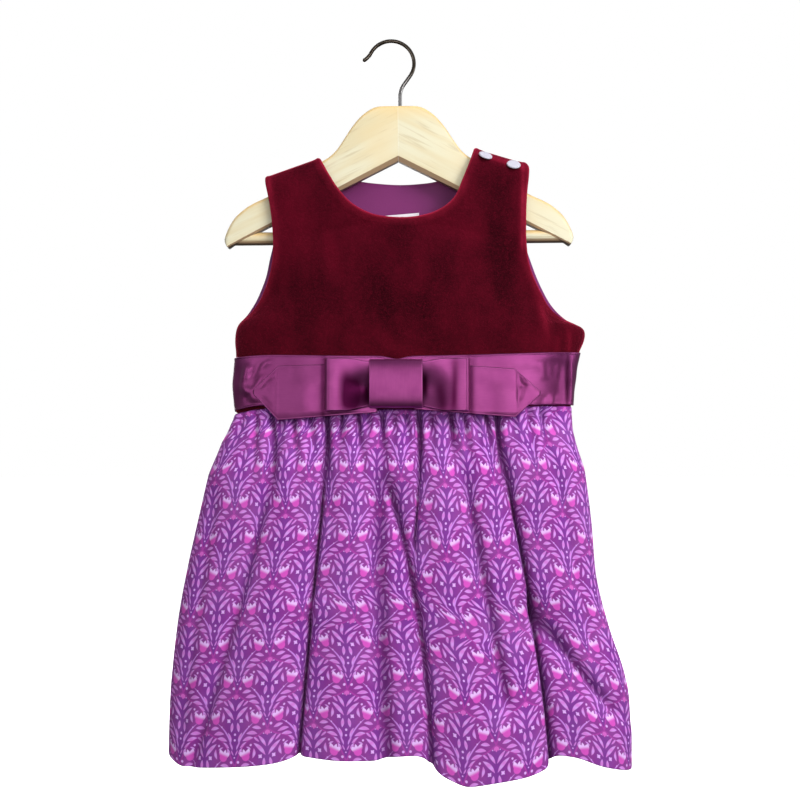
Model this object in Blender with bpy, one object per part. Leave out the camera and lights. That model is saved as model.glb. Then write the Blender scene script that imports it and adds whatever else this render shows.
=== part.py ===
"""A toddler's sleeveless party dress hanging on a wooden hanger.

Velvet bodice, gathered cotton skirt, satin ribbon sash with a flat bow, and two press studs on one
shoulder. Frame: the origin is inside the top of the hook, straight above its shank; +X is to the
right as seen from the front, +Z is up, and the dress faces -Y. Sizes are in millimetres until MM
turns them into metres.
"""

import math

import bmesh
import bpy
import numpy as np
from mathutils import Matrix, Vector

MM = 0.001

# ---- driving dimensions, mm ----
SEAM_GAP = 0.3  # between two pieces sewn or laid together
VELVET_WALL = 2.5  # velvet with its backing
LINING_WALL = 1.0
LINING_INSET = 1.2  # the lining hangs a little free of the velvet
RIBBON_WALL = 1.0
COTTON_WALL = 1.3
LABEL_WALL = 0.6

WAIST_Z = -327.5  # seam between bodice and skirt
SKIRT_TOP_Z = WAIST_Z - 0.8  # the gathers tilt the skirt's top edge up to the seam
SQUARENESS = 2.5  # exponent of the flattened oval that the cloth stands in

SASH_ROWS = (0.06, 2.0)  # rows of the bodice tables that the ribbon covers
PANEL_COLUMNS = 8  # faces across half a bodice panel
SKIRT_FACES = 54  # faces across one skirt panel

TAIL_TIP = 3.0  # blunt width of a tail's point
TAIL_LEAN = 0.7  # how far a tail stands out for each mm that it hangs over the skirt
LOOP_RISE = 4.4  # radius of a loop's outer fold
LOOP_PINCH = 22.0  # mm from the knot over which a loop narrows
KNOT_Z = -305.0
KNOT_HEIGHT = 41.2
KNOT_CLEAR = 0.6  # between the knot's band and the layers under it
KNOT_ROUND = 0.55  # exponent of the band's flattened section

HANGER_THICK = 13.0
HANGER_EDGE = 2.4  # rounding of the arms' edges
BAR_DIAMETER = 11.5
BAR_Z = -173.4
HOOK_WIRE = 3.4
HOOK_RADIUS = 20.3  # centre line of the hook's round
HOOK_CENTRE_X = -7.9
HOOK_START = 152.0  # degrees round from +X where the round begins, past the wire's straight tip
HOOK_STOP = -35.0
HOOK_TIP = 10.0  # straight end of the wire
HOOK_BEND = 17.7  # radius of the bend above the shank
SNAP_DIAMETER = 12.4
SNAP_TOP_DIAMETER = 8.9
SNAP_HEIGHT = 1.8
SNAP_ROW = 14  # row of FRONT_RIGHT just below the caps


def table(columns, *rows):
    """A table of sizes as a dictionary of its named columns."""
    return dict(zip(columns.split(), np.array(rows).T))


# ---- bodice halves: a row for each level, from the waist up and over the shoulder ----
# Each row runs from the outer edge (side seam, armhole, shoulder point) to the inner edge (centre
# line, neckline). "oval" is 1 where the row is half of the flattened oval and 0 on the flat strap.
HALF_COLUMNS = "x_out y_out z_out x_in y_in z_in oval"
FRONT_LEFT = table(
    HALF_COLUMNS,
    (-143.5, -0.15, -327.5, 0.0, -28.0, -327.5, 1.00),
    (-146.0, -0.15, -303.0, 0.0, -28.0, -304.5, 1.00),
    (-143.9, -0.15, -279.5, 0.0, -28.0, -281.5, 1.00),
    (-141.9, -0.15, -254.0, 0.0, -27.5, -256.0, 1.00),
    (-130.6, -4.0, -242.0, 0.0, -26.5, -236.0, 0.80),
    (-121.4, -7.5, -228.0, 0.0, -25.5, -215.0, 0.50),
    (-114.5, -10.5, -210.5, 0.0, -24.5, -195.0, 0.30),
    (-111.2, -12.5, -194.0, 0.0, -23.0, -176.0, 0.15),
    (-110.6, -13.5, -180.0, 0.0, -21.0, -159.3, 0.00),
    (-111.2, -13.5, -169.0, -22.5, -21.0, -156.6, 0.00),
    (-112.4, -13.2, -157.0, -40.8, -20.0, -147.2, 0.00),
    (-114.0, -13.0, -146.0, -53.1, -18.0, -134.0, 0.00),
    (-116.0, -12.6, -136.0, -61.0, -15.0, -121.5, 0.00),
    (-117.8, -11.4, -128.0, -66.3, -12.2, -111.8, 0.00),
    (-118.6, -8.0, -122.4, -69.8, -8.8, -105.0, 0.00),
    (-118.7, -0.15, -120.8, -70.8, -0.15, -103.5, 0.00),
)
FRONT_RIGHT = table(
    HALF_COLUMNS,
    (151.8, -0.15, -327.5, 0.0, -28.0, -327.5, 1.00),
    (155.0, -0.15, -301.5, 0.0, -28.0, -304.5, 1.00),
    (157.8, -0.15, -277.0, 0.0, -28.0, -281.5, 1.00),
    (160.3, -0.15, -257.0, 0.0, -27.5, -256.0, 1.00),
    (144.1, -4.0, -249.0, 0.0, -26.5, -236.0, 0.80),
    (130.4, -7.5, -235.5, 0.0, -25.5, -215.0, 0.50),
    (119.2, -10.5, -216.0, 0.0, -24.5, -195.0, 0.30),
    (112.6, -12.5, -198.0, 0.0, -23.0, -176.0, 0.15),
    (110.4, -13.5, -182.0, 0.0, -21.0, -159.3, 0.00),
    (110.0, -13.5, -170.0, 19.5, -21.0, -157.4, 0.00),
    (110.2, -13.2, -158.0, 35.5, -20.0, -151.2, 0.00),
    (110.6, -13.0, -146.0, 47.5, -18.0, -140.2, 0.00),
    (111.4, -12.8, -134.0, 54.8, -16.0, -123.6, 0.00),
    (112.8, -12.6, -121.5, 60.4, -14.2, -109.4, 0.00),
    (113.2, -10.6, -112.8, 64.0, -10.8, -99.0, 0.00),
    (111.4, -4.0, -108.6, 65.4, -4.0, -94.6, 0.00),
    (110.6, 6.0, -109.0, 66.0, 6.0, -95.0, 0.00),
    (110.4, 13.5, -114.5, 66.0, 13.5, -101.5, 0.00),
    (110.4, 15.5, -121.0, 65.5, 16.0, -108.5, 0.00),
)
BACK_LEFT = table(
    HALF_COLUMNS,
    (-143.5, 0.15, -327.5, 0.0, 18.0, -327.5, 1.00),
    (-146.0, 0.15, -303.0, 0.0, 18.0, -304.0, 1.00),
    (-143.9, 0.15, -279.5, 0.0, 18.0, -280.5, 1.00),
    (-141.9, 0.15, -254.0, 0.0, 18.0, -252.0, 1.00),
    (-133.6, 4.0, -240.5, 0.0, 17.8, -228.0, 0.80),
    (-126.2, 7.5, -226.5, 0.0, 17.6, -204.0, 0.50),
    (-119.4, 10.5, -208.0, 0.0, 17.4, -181.0, 0.30),
    (-115.8, 12.3, -191.0, 0.0, 17.2, -160.0, 0.15),
    (-113.0, 13.0, -178.0, 0.0, 17.0, -141.0, 0.00),
    (-112.8, 13.2, -167.0, 0.0, 16.6, -123.0, 0.00),
    (-113.3, 13.0, -156.0, -22.0, 16.3, -121.6, 0.00),
    (-114.4, 12.8, -145.0, -37.0, 15.8, -119.4, 0.00),
    (-116.0, 12.4, -135.5, -51.0, 14.8, -115.4, 0.00),
    (-117.8, 11.2, -127.6, -61.0, 13.0, -110.6, 0.00),
    (-118.6, 8.0, -122.4, -69.2, 9.4, -104.8, 0.00),
    (-118.7, 0.15, -120.8, -70.8, 0.15, -103.5, 0.00),
)
BACK_RIGHT = table(
    HALF_COLUMNS,
    (151.8, 0.15, -327.5, 0.0, 18.0, -327.5, 1.00),
    (155.0, 0.15, -301.5, 0.0, 18.0, -304.0, 1.00),
    (157.8, 0.15, -277.0, 0.0, 18.0, -280.5, 1.00),
    (160.3, 0.15, -257.0, 0.0, 18.0, -252.0, 1.00),
    (146.0, 4.0, -246.5, 0.0, 17.8, -228.0, 0.80),
    (133.2, 7.5, -231.5, 0.0, 17.6, -204.0, 0.50),
    (123.2, 10.5, -211.5, 0.0, 17.4, -181.0, 0.30),
    (116.6, 12.3, -194.0, 0.0, 17.2, -160.0, 0.15),
    (112.4, 13.0, -180.0, 0.0, 17.0, -141.0, 0.00),
    (111.6, 13.2, -167.0, 0.0, 16.6, -123.0, 0.00),
    (111.4, 13.0, -155.0, 19.5, 16.3, -121.8, 0.00),
    (111.2, 12.6, -144.0, 33.0, 15.6, -119.6, 0.00),
    (110.8, 12.0, -135.0, 45.0, 14.4, -115.4, 0.00),
    (110.2, 11.4, -127.5, 55.5, 12.8, -110.0, 0.00),
    (109.6, 9.6, -121.6, 62.0, 10.4, -103.4, 0.00),
    (108.8, 5.0, -118.2, 65.0, 5.2, -100.4, 0.00),
    (108.4, -1.0, -117.6, 66.4, -1.0, -100.6, 0.00),
    (108.0, -6.0, -118.6, 67.2, -5.5, -101.8, 0.00),
)
LINING_TOP_ROW = 12  # of the back tables, where the lining is turned in below the shoulder

# ---- skirt: a row for each level below the waist seam ----
SKIRT = table(
    "down x_left x_right front back",
    (0.0, -144.0, 151.4, 28.0, 18.0),
    (9.0, -147.4, 151.2, 29.0, 19.0),
    (26.0, -154.8, 152.2, 36.0, 26.0),
    (55.0, -166.3, 160.6, 42.0, 31.0),
    (97.0, -175.6, 166.0, 45.0, 35.0),
    (143.0, -184.8, 169.8, 47.0, 38.0),
    (182.0, -191.3, 179.6, 49.0, 40.0),
    (227.0, -195.9, 193.9, 51.0, 42.0),
    (258.0, -197.8, 198.0, 52.0, 43.0),
    (300.0, -198.3, 198.2, 53.0, 44.0),
)
# Folds are troughs between broad lobes, each on a curve through its places near the waist, at
# mid length and near the hem.
FOLD_COLUMNS = "x_top x_middle x_hem start end depth width"
FOLD_LEVELS = (20.0, 150.0, 270.0)  # mm below the waist where x_top, x_middle and x_hem hold
FRONT_FOLDS = table(
    FOLD_COLUMNS,
    (-133.0, -139.0, -143.0, -30.0, 70.0, 6.0, 7.0),
    (-150.0, -170.0, -186.0, 55.0, 290.0, 6.0, 10.0),
    (-103.0, -133.0, -168.0, -30.0, 320.0, 12.0, 11.0),
    (-57.0, -73.0, -85.0, -30.0, 400.0, 22.0, 9.0),
    (-17.0, -17.0, -13.0, 5.0, 330.0, 12.0, 13.0),
    (-24.0, 11.5, 26.0, 50.0, 400.0, 14.0, 9.0),
    (18.6, 13.0, 5.0, -30.0, 140.0, 12.0, 6.0),
    (48.0, 72.0, 94.0, -30.0, 260.0, 12.0, 10.0),
    (82.0, 115.0, 129.0, -30.0, 400.0, 23.0, 9.0),
    (-40.0, 92.0, 214.0, 165.0, 262.0, 10.0, 12.0),
    (126.0, 154.0, 176.0, 35.0, 220.0, 7.0, 9.0),
)
BACK_FOLDS = table(
    FOLD_COLUMNS,
    (-124.0, -150.0, -172.0, -30.0, 400.0, 11.0, 11.0),
    (-88.0, -104.0, -122.0, -30.0, 270.0, 10.0, 10.0),
    (-52.0, -60.0, -66.0, -30.0, 400.0, 20.0, 10.0),
    (-12.0, -20.0, -16.0, 10.0, 400.0, 13.0, 12.0),
    (20.0, 26.0, 38.0, -30.0, 190.0, 11.0, 8.0),
    (60.0, 68.0, 80.0, -30.0, 400.0, 19.0, 10.0),
    (96.0, 114.0, 124.0, -30.0, 250.0, 10.0, 9.0),
    (126.0, 148.0, 166.0, 20.0, 400.0, 13.0, 11.0),
)
FRONT_HEM = table(
    "x z",
    (-198.0, -619.0), (-184.0, -624.0), (-127.0, -617.5), (-100.0, -615.0), (-84.0, -612.0),
    (-48.0, -613.5), (0.0, -612.0), (18.0, -611.5), (36.0, -625.0), (54.0, -632.5),
    (81.0, -628.0), (107.0, -624.0), (121.0, -620.0), (129.0, -612.5), (147.0, -612.0),
    (169.0, -621.0), (194.0, -631.0),
)
BACK_HEM = table(
    "x z",
    (-198.0, -619.5), (-172.0, -625.0), (-130.0, -622.0), (-66.0, -615.0), (-40.0, -621.0),
    (-16.0, -616.0), (30.0, -623.0), (80.0, -616.0), (120.0, -624.0), (166.0, -620.0),
    (194.0, -630.5),
)
FOLD_CORE = 0.65  # share of a fold's depth in its narrow middle; the rest is in its broad sides
FOLD_SIDES = 2.3  # how many times wider the sides are than the middle
FOLD_FADE = 30.0  # over which a fold starts and ends
FOLD_AT_WAIST = 0.15  # share of its depth that a fold has at the waist seam
FOLD_FULL = 110.0  # mm over which it deepens by its whole depth
EDGE_CALM = 0.6  # exponent that flattens folds and gathers towards the side seams
GATHERS = 14  # ripples across a skirt panel at the waist
GATHER_DEPTH = 1.6
GATHER_REACH = 45.0  # mm down the skirt over which the ripples fade

# ---- hanger arm: top edge from the mitre to the tip ----
ARM_TOP = table(
    "x z",
    (0.15, -56.2), (9.0, -56.2), (17.0, -56.5), (22.7, -58.8), (31.0, -65.0), (39.5, -74.8),
    (48.0, -87.2), (54.0, -95.4), (61.0, -101.6), (70.6, -107.4), (92.0, -121.2),
    (112.3, -134.6), (127.5, -140.8), (135.7, -145.9), (144.1, -154.0), (149.8, -163.8),
    (153.2, -173.0), (152.9, -177.0), (151.0, -180.2),
)
ARM_APEX_Z = -101.3  # lower edge at the mitre; it runs straight to the tip


def new_material(name, colour, roughness, metallic=0.0):
    material = bpy.data.materials.new(name)
    material.use_nodes = True
    shader = material.node_tree.nodes["Principled BSDF"]
    shader.inputs["Base Color"].default_value = (*colour, 1.0)
    shader.inputs["Roughness"].default_value = roughness
    shader.inputs["Metallic"].default_value = metallic
    return material


def new_object(name, mesh_builder, material):
    """Turn a bmesh in millimetres into an object in metres."""
    bmesh.ops.scale(mesh_builder, vec=(MM, MM, MM), verts=mesh_builder.verts)
    mesh = bpy.data.meshes.new(name)
    mesh_builder.to_mesh(mesh)
    mesh_builder.free()
    mesh.materials.append(material)
    piece = bpy.data.objects.new(name, mesh)
    bpy.context.collection.objects.link(piece)
    return piece


def cloth(name, grids, wall, material, out=0.0, side=0):
    """A closed wall of cloth behind the outer face that the grids give.

    The grids are sewn where their points meet, moved `out` along their normals, and thickened
    inwards. A front piece (side -1) or back piece (side 1) keeps to its own side of the side seams.
    """
    panel = bmesh.new()
    for grid in grids:
        rows, columns = grid.shape[:2]
        points = [panel.verts.new(point) for point in grid.reshape(-1, 3)]
        for row in range(rows - 1):
            for first in range(row * columns, (row + 1) * columns - 1):
                above = first + columns
                panel.faces.new((points[first], points[first + 1], points[above + 1], points[above]))
    bmesh.ops.remove_doubles(panel, verts=panel.verts, dist=0.001)
    panel.normal_update()
    outer = list(panel.verts)
    faces = list(panel.faces)
    rim = [edge for edge in panel.edges if edge.is_boundary]
    inner = {}
    for point in outer:
        inner[point] = panel.verts.new(point.co + point.normal * (out - wall))
    for point in outer:
        point.co = point.co + point.normal * out
    if side:
        for point in panel.verts:
            point.co.y = side * max(side * point.co.y, SEAM_GAP / 2)
    for face in faces:
        panel.faces.new([inner[point] for point in reversed(face.verts)])
    for edge in rim:
        loop = edge.link_loops[0]
        start, end = loop.vert, loop.link_loop_next.vert
        panel.faces.new((end, start, inner[start], inner[end]))
    return new_object(name, panel, material)


def oval(share):
    """Half of the flattened oval's quarter: how far in x and in y at `share` of the way in."""
    lean = np.cos(share * math.pi / 2)
    return 1 - lean, (1 - np.abs(lean) ** SQUARENESS) ** (1 / SQUARENESS)


def half_panel(half, first=0.0, last=None, columns=PANEL_COLUMNS):
    """Half a bodice panel as a grid, from table row `first` to `last`, outer edge to inner edge."""
    numbers = np.arange(len(half["oval"]))
    last = numbers[-1] if last is None else last
    levels = [first, *numbers[(numbers > first) & (numbers < last)], last]
    rows = {name: np.interp(levels, numbers, column)[:, None] for name, column in half.items()}
    share = np.linspace(0, 1, columns + 1)
    oval_x, oval_y = oval(share)
    along_x = rows["oval"] * oval_x + (1 - rows["oval"]) * share
    along_y = rows["oval"] * oval_y + (1 - rows["oval"]) * np.sin(share * math.pi / 2)
    x = rows["x_out"] + (rows["x_in"] - rows["x_out"]) * along_x
    y = rows["y_out"] + (rows["y_in"] - rows["y_out"]) * along_y
    z = rows["z_out"] + (rows["z_in"] - rows["z_out"]) * share
    return np.stack([x, y, z], axis=-1)


def facing(grid, front):
    """The grid with its columns running so that its faces look to the front or to the back."""
    runs_right = grid[0, -1, 0] > grid[0, 0, 0]
    return grid if runs_right == front else grid[:, ::-1]


def fold_depth(x, down, folds):
    """How far the folds push the cloth in at each x of one level."""
    depth = np.zeros_like(x)
    for number in range(len(folds["depth"])):
        fold = {name: column[number] for name, column in folds.items()}
        places = (fold["x_top"], fold["x_middle"], fold["x_hem"])
        off_centre = (x - np.polyval(np.polyfit(FOLD_LEVELS, places, 2), down)) / fold["width"]
        starting = np.clip((down - fold["start"]) / FOLD_FADE, 0, 1)
        ending = np.clip((fold["end"] - down) / FOLD_FADE, 0, 1)
        middle = FOLD_CORE * np.exp(-(off_centre**2))
        sides = (1 - FOLD_CORE) * np.exp(-((off_centre / FOLD_SIDES) ** 2))
        depth += fold["depth"] * starting * ending * (middle + sides)
    return depth


def skirt_level(number, front, folds):
    """One level of a skirt panel: points evenly spaced along the cloth, from left to right."""
    level = {name: column[number] for name, column in SKIRT.items()}
    down, x_left, x_right = level["down"], level["x_left"], level["x_right"]
    side = -1 if front else 1
    angle = np.linspace(0, math.pi, 481)
    lean = np.cos(angle)
    deep = level["front" if front else "back"]
    x = (x_left + x_right) / 2 - (x_right - x_left) / 2 * lean
    y = side * (SEAM_GAP / 2 + deep * (1 - np.abs(lean) ** SQUARENESS) ** (1 / SQUARENESS))
    slope_x, slope_y = np.gradient(x), np.gradient(y)
    length = np.hypot(slope_x, slope_y)
    share = (x - x_left) / (x_right - x_left)
    gathers = np.sin(2 * math.pi * GATHERS * share + 1.5 * np.sin(9 * share))
    ripple = GATHER_DEPTH * math.exp(-down / GATHER_REACH) * gathers
    deepening = min(1.0, FOLD_AT_WAIST + down / FOLD_FULL)
    inset = (fold_depth(x, down, folds) * deepening + ripple) * np.sin(angle) ** EDGE_CALM
    x = x + side * inset * slope_y / length
    y = y - side * inset * slope_x / length
    run = np.concatenate([[0], np.cumsum(np.hypot(np.diff(x), np.diff(y)))])
    even = np.linspace(0, run[-1], SKIRT_FACES + 1)
    return np.interp(even, run, x), np.interp(even, run, y)


def skirt_panel(front, folds, hem):
    """A skirt panel as a grid from the hem up to the waist seam."""
    down = SKIRT["down"]
    levels = [skirt_level(number, front, folds) for number in range(len(down))]
    x, y = np.array(levels).transpose(1, 0, 2)
    hem_z = np.interp(x[-1], hem["x"], hem["z"])
    z = SKIRT_TOP_Z + (down / down[-1])[:, None] * (hem_z - SKIRT_TOP_Z)
    return np.stack([x, y, z], axis=-1)[::-1]


def lifted_section(lift):
    """The front of the waist seen from above, moved `lift` outwards: x and y from left to right."""
    rows = [facing(half_panel(half, 1, 2, 60), True)[0] for half in (FRONT_LEFT, FRONT_RIGHT)]
    line = np.concatenate([rows[0], rows[1][1:]])[:, :2]
    slope = np.gradient(line, axis=0)
    normal = np.stack([slope[:, 1], -slope[:, 0]], axis=1) / np.linalg.norm(slope, axis=1)[:, None]
    return (line + normal * lift).T


def on_waist(x, lift):
    """The y of a ribbon layer that lies `lift` off the bodice's waist, at each x."""
    section_x, section_y = lifted_section(lift)
    return np.interp(x, section_x, section_y)


def build_bodice():
    velvet = new_material("velvet", (0.075, 0.003, 0.010), 0.85)
    lining = new_material("lining", (0.200, 0.040, 0.150), 0.70)
    front = [facing(half_panel(half), True) for half in (FRONT_LEFT, FRONT_RIGHT)]
    back = [facing(half_panel(half), False) for half in (BACK_LEFT, BACK_RIGHT)]
    cloth("bodice_front", front, VELVET_WALL, velvet, side=-1)
    cloth("bodice_back", back, VELVET_WALL, velvet, side=1)
    behind = -(VELVET_WALL + LINING_INSET)
    inside = [facing(half_panel(half, 0, LINING_TOP_ROW), False) for half in (BACK_LEFT, BACK_RIGHT)]
    cloth("back_lining", inside, LINING_WALL, lining, behind, side=1)


def build_label():
    """A plain woven label sewn into the back of the neck, bare of any words."""
    white = new_material("label_tape", (0.75, 0.70, 0.76), 0.60)
    x, z = np.meshgrid(np.linspace(17.0, -13.0, 5), np.linspace(-170.0, -148.0, 4))
    lining_face = 17.0 - VELVET_WALL - LINING_WALL - LINING_INSET
    y = lining_face - SEAM_GAP - 0.0009 * x**2
    cloth("neck_label", [np.stack([x, y, z], axis=-1)], LABEL_WALL, white)


def build_sash():
    satin = new_material("satin", (0.235, 0.045, 0.150), 0.35)
    first, last = SASH_ROWS
    out = RIBBON_WALL + SEAM_GAP
    front = [facing(half_panel(half, first, last), True) for half in (FRONT_LEFT, FRONT_RIGHT)]
    back = [facing(half_panel(half, first, last), False) for half in (BACK_LEFT, BACK_RIGHT)]
    cloth("sash_front", front, RIBBON_WALL, satin, out, side=-1)
    cloth("sash_back", back, RIBBON_WALL, satin, out, side=1)
    return satin


def tail_edge(at_knot, at_corner, at_point):
    """One edge of a tail: straight from the knot to the cut's corner, then in to the point."""
    along = np.linspace(at_knot, at_corner, 9)
    return np.append(along, [(at_corner + at_point) / 2, at_point])


def build_bow(satin):
    """Two tails flat on the sash, two open loops over them, and a band wrapped round the middle."""
    tail_lift = 2 * RIBBON_WALL + 2 * SEAM_GAP + 0.1
    loop_lift = tail_lift + RIBBON_WALL + SEAM_GAP + 0.2
    tails = table(
        "x_knot x_corner x_point low_knot low_corner high_knot high_corner z_point",
        (-19.0, -104.0, -126.0, -325.0, -334.0, -287.0, -289.0, -311.0),
        (12.0, 98.0, 120.0, -325.0, -332.0, -286.0, -291.5, -312.0),
    )
    for number, name in enumerate(("bow_tail_left", "bow_tail_right")):
        tail = {column: sizes[number] for column, sizes in tails.items()}
        x = tail_edge(tail["x_knot"], tail["x_corner"], tail["x_point"])
        low = tail_edge(tail["low_knot"], tail["low_corner"], tail["z_point"] - TAIL_TIP / 2)
        high = tail_edge(tail["high_knot"], tail["high_corner"], tail["z_point"] + TAIL_TIP / 2)
        z = low + np.linspace(0, 1, 5)[:, None] * (high - low)
        over_skirt = np.maximum(0, WAIST_Z - TAIL_TIP / 2 - z)
        y = on_waist(x, tail_lift) - TAIL_LEAN * over_skirt
        grid = np.stack([np.broadcast_to(x, z.shape), y, z], axis=-1)
        cloth(name, [facing(grid, True)], RIBBON_WALL, satin)

    # Each loop is a strip that leaves the knot, turns back at its outer fold and returns over itself.
    low_knot, low_fold, high_knot, high_fold = -322.5, -328.0, -287.5, -283.5
    loops = table("side x_knot x_fold", (-1.0, -21.0, -59.5), (1.0, 14.0, 54.5))
    for number, name in enumerate(("bow_loop_left", "bow_loop_right")):
        side, x_knot, x_fold = (sizes[number] for sizes in loops.values())
        turn = np.radians(np.linspace(-90, 90, 7)[1:-1])
        back, front = np.linspace(x_knot, x_fold, 5), np.linspace(x_fold, x_knot, 6)
        x = np.concatenate([back, x_fold + side * LOOP_RISE * np.cos(turn), front])
        rise = np.concatenate([np.zeros(5), 1 + np.sin(turn), np.linspace(2.0, 1.15, 6)])
        y = on_waist(x, 0.0) - loop_lift - LOOP_RISE * rise
        near_knot = np.clip(1 - np.abs(x - x_knot) / LOOP_PINCH, 0, 1)
        low = low_fold + near_knot * (low_knot - low_fold)
        high = high_fold + near_knot * (high_knot - high_fold)
        z = low + np.linspace(0, 1, 4)[:, None] * (high - low)
        grid = np.stack([np.broadcast_to(x, z.shape), np.broadcast_to(y, z.shape), z], axis=-1)
        cloth(name, [grid if side < 0 else grid[:, ::-1]], RIBBON_WALL, satin)

    # The band runs over the front, from the sash above the bow to the sash below it.
    x = np.linspace(-26.0, 19.0, 6)
    angle = np.radians(np.linspace(-90, 90, 11))
    z = KNOT_Z + KNOT_HEIGHT / 2 * np.sign(angle) * (1 - np.cos(angle) ** 3) ** (1 / 3)
    root_lift = tail_lift + KNOT_CLEAR
    band_rise = loop_lift + 2 * LOOP_RISE + RIBBON_WALL + KNOT_CLEAR - tail_lift
    y = on_waist(x, 0.0) - root_lift - band_rise * np.cos(angle[:, None]) ** KNOT_ROUND
    grid = np.stack([np.broadcast_to(x, y.shape), y, np.broadcast_to(z[:, None], y.shape)], axis=-1)
    cloth("bow_knot", [grid], RIBBON_WALL, satin)


def build_skirt():
    cotton = new_material("cotton_print", (0.300, 0.090, 0.370), 0.80)
    front = skirt_panel(True, FRONT_FOLDS, FRONT_HEM)
    cloth("skirt_front", [front], COTTON_WALL, cotton, side=-1)
    back = skirt_panel(False, BACK_FOLDS, BACK_HEM)
    cloth("skirt_back", [back[:, ::-1]], COTTON_WALL, cotton, side=1)


def build_snaps():
    """Two press-stud caps on the front strap's top, each square to the cloth where it sits."""
    cap_white = new_material("cap_plastic", (0.72, 0.74, 0.86), 0.30)
    strap = half_panel(FRONT_RIGHT)
    row = SNAP_ROW
    for name, up_row, column in (("snap_cap_inner", 0.25, 6), ("snap_cap_outer", 0.08, 2)):
        up_strap = Vector(strap[row + 1, column] - strap[row, column])
        across_strap = Vector(strap[row, column - 1] - strap[row, column + 1])
        normal = across_strap.cross(up_strap).normalized()
        centre = Vector(strap[row, column]) + up_strap * up_row + normal * (SEAM_GAP + SNAP_HEIGHT / 2)
        place = Matrix.Translation(centre) @ normal.to_track_quat("Z", "Y").to_matrix().to_4x4()
        cap = bmesh.new()
        bmesh.ops.create_cone(cap, cap_ends=True, segments=20, radius1=SNAP_DIAMETER / 2,
                              radius2=SNAP_TOP_DIAMETER / 2, depth=SNAP_HEIGHT, matrix=place)
        new_object(name, cap, cap_white)


def build_hanger():
    wood = new_material("beech", (0.80, 0.72, 0.50), 0.45)
    for name, side in (("hanger_arm_left", -1), ("hanger_arm_right", 1)):
        arm = bmesh.new()
        outline = [*zip(ARM_TOP["x"], ARM_TOP["z"]), (ARM_TOP["x"][0], ARM_APEX_Z)]
        front = [arm.verts.new((side * x, -HANGER_THICK / 2, z)) for x, z in outline]
        face = arm.faces.new(front)
        body = bmesh.ops.extrude_face_region(arm, geom=[face])["geom"]
        grown = [item for item in body if isinstance(item, bmesh.types.BMVert)]
        bmesh.ops.translate(arm, verts=grown, vec=(0, HANGER_THICK, 0))
        bmesh.ops.recalc_face_normals(arm, faces=arm.faces)
        piece = new_object(name, arm, wood)
        bevel = piece.modifiers.new("rounded_edges", "BEVEL")
        bevel.width = HANGER_EDGE * MM
        bevel.segments = 2
        bevel.limit_method = "ANGLE"
        bevel.angle_limit = math.radians(50)

    # The bar is cut at both ends to the slope of the arms' lower edge.
    lower_slope = (ARM_TOP["z"][-1] - ARM_APEX_Z) / ARM_TOP["x"][-1]
    bar = bmesh.new()
    turned = Matrix.Translation((0, 0, BAR_Z)) @ Matrix.Rotation(math.pi / 2, 4, "Y")
    bmesh.ops.create_cone(bar, cap_ends=True, segments=20, radius1=BAR_DIAMETER / 2,
                          radius2=BAR_DIAMETER / 2, depth=2, matrix=turned)
    for point in bar.verts:
        reach = (point.co.z - ARM_APEX_Z) / lower_slope - 2 * SEAM_GAP
        point.co.x = math.copysign(reach, point.co.x)
    new_object("hanger_bar", bar, wood)


def hook_path():
    """The hook's centre line, from its tip over the round and back to the shank."""
    inner = HOOK_RADIUS - HOOK_WIRE / 2
    centre_x, centre_z = HOOK_CENTRE_X, -math.sqrt(inner**2 - HOOK_CENTRE_X**2)
    start, stop = math.radians(HOOK_START), math.radians(HOOK_STOP)
    turn = np.linspace(start, stop, 19)
    round_x = centre_x + HOOK_RADIUS * np.cos(turn)
    round_z = centre_z + HOOK_RADIUS * np.sin(turn)
    tip_x = round_x[0] - HOOK_TIP * math.sin(start)
    tip_z = round_z[0] + HOOK_TIP * math.cos(start)
    # Past the round the wire runs straight, then bends back upright so that the shank is on x = 0.
    straight = (round_x[-1] - HOOK_BEND * (1 - math.cos(stop))) / -math.sin(stop)
    turn_back = np.linspace(stop, 0, 5)
    bend_x = HOOK_BEND * (1 - np.cos(turn_back))
    bend_z = round_z[-1] - straight * math.cos(stop) + HOOK_BEND * (math.sin(stop) - np.sin(turn_back))
    x = [tip_x, *round_x, *bend_x, 0.0]
    z = [tip_z, *round_z, *bend_z, ARM_TOP["z"][0] + SEAM_GAP]
    return list(zip(x, z))


def build_hook():
    steel = new_material("hook_steel", (0.45, 0.42, 0.38), 0.25, 1.0)
    curve = bpy.data.curves.new("hanger_hook", "CURVE")
    curve.dimensions = "3D"
    curve.bevel_depth = HOOK_WIRE / 2 * MM
    curve.bevel_resolution = 3
    curve.use_fill_caps = True
    path = hook_path()
    line = curve.splines.new("POLY")
    line.points.add(len(path) - 1)
    for point, (x, z) in zip(line.points, path):
        point.co = (x * MM, 0, z * MM, 1)
    curve.materials.append(steel)
    bpy.context.collection.objects.link(bpy.data.objects.new("hanger_hook", curve))


for old in list(bpy.data.objects):
    bpy.data.objects.remove(old, do_unlink=True)
build_bodice()
build_label()
build_bow(build_sash())
build_skirt()
build_snaps()
build_hanger()
build_hook()
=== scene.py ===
"""A toddler's sleeveless party dress on a wooden hanger: velvet bodice, satin sash and bow, cotton skirt.

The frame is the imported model's, in metres: the origin is inside the top of the hook, +X is to the
right as seen from the front, +Z is up and the dress faces -Y. Shapes are worked out in millimetres,
from the same sizes as the solids, and become metres when a mesh is made.
"""

import math

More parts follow.
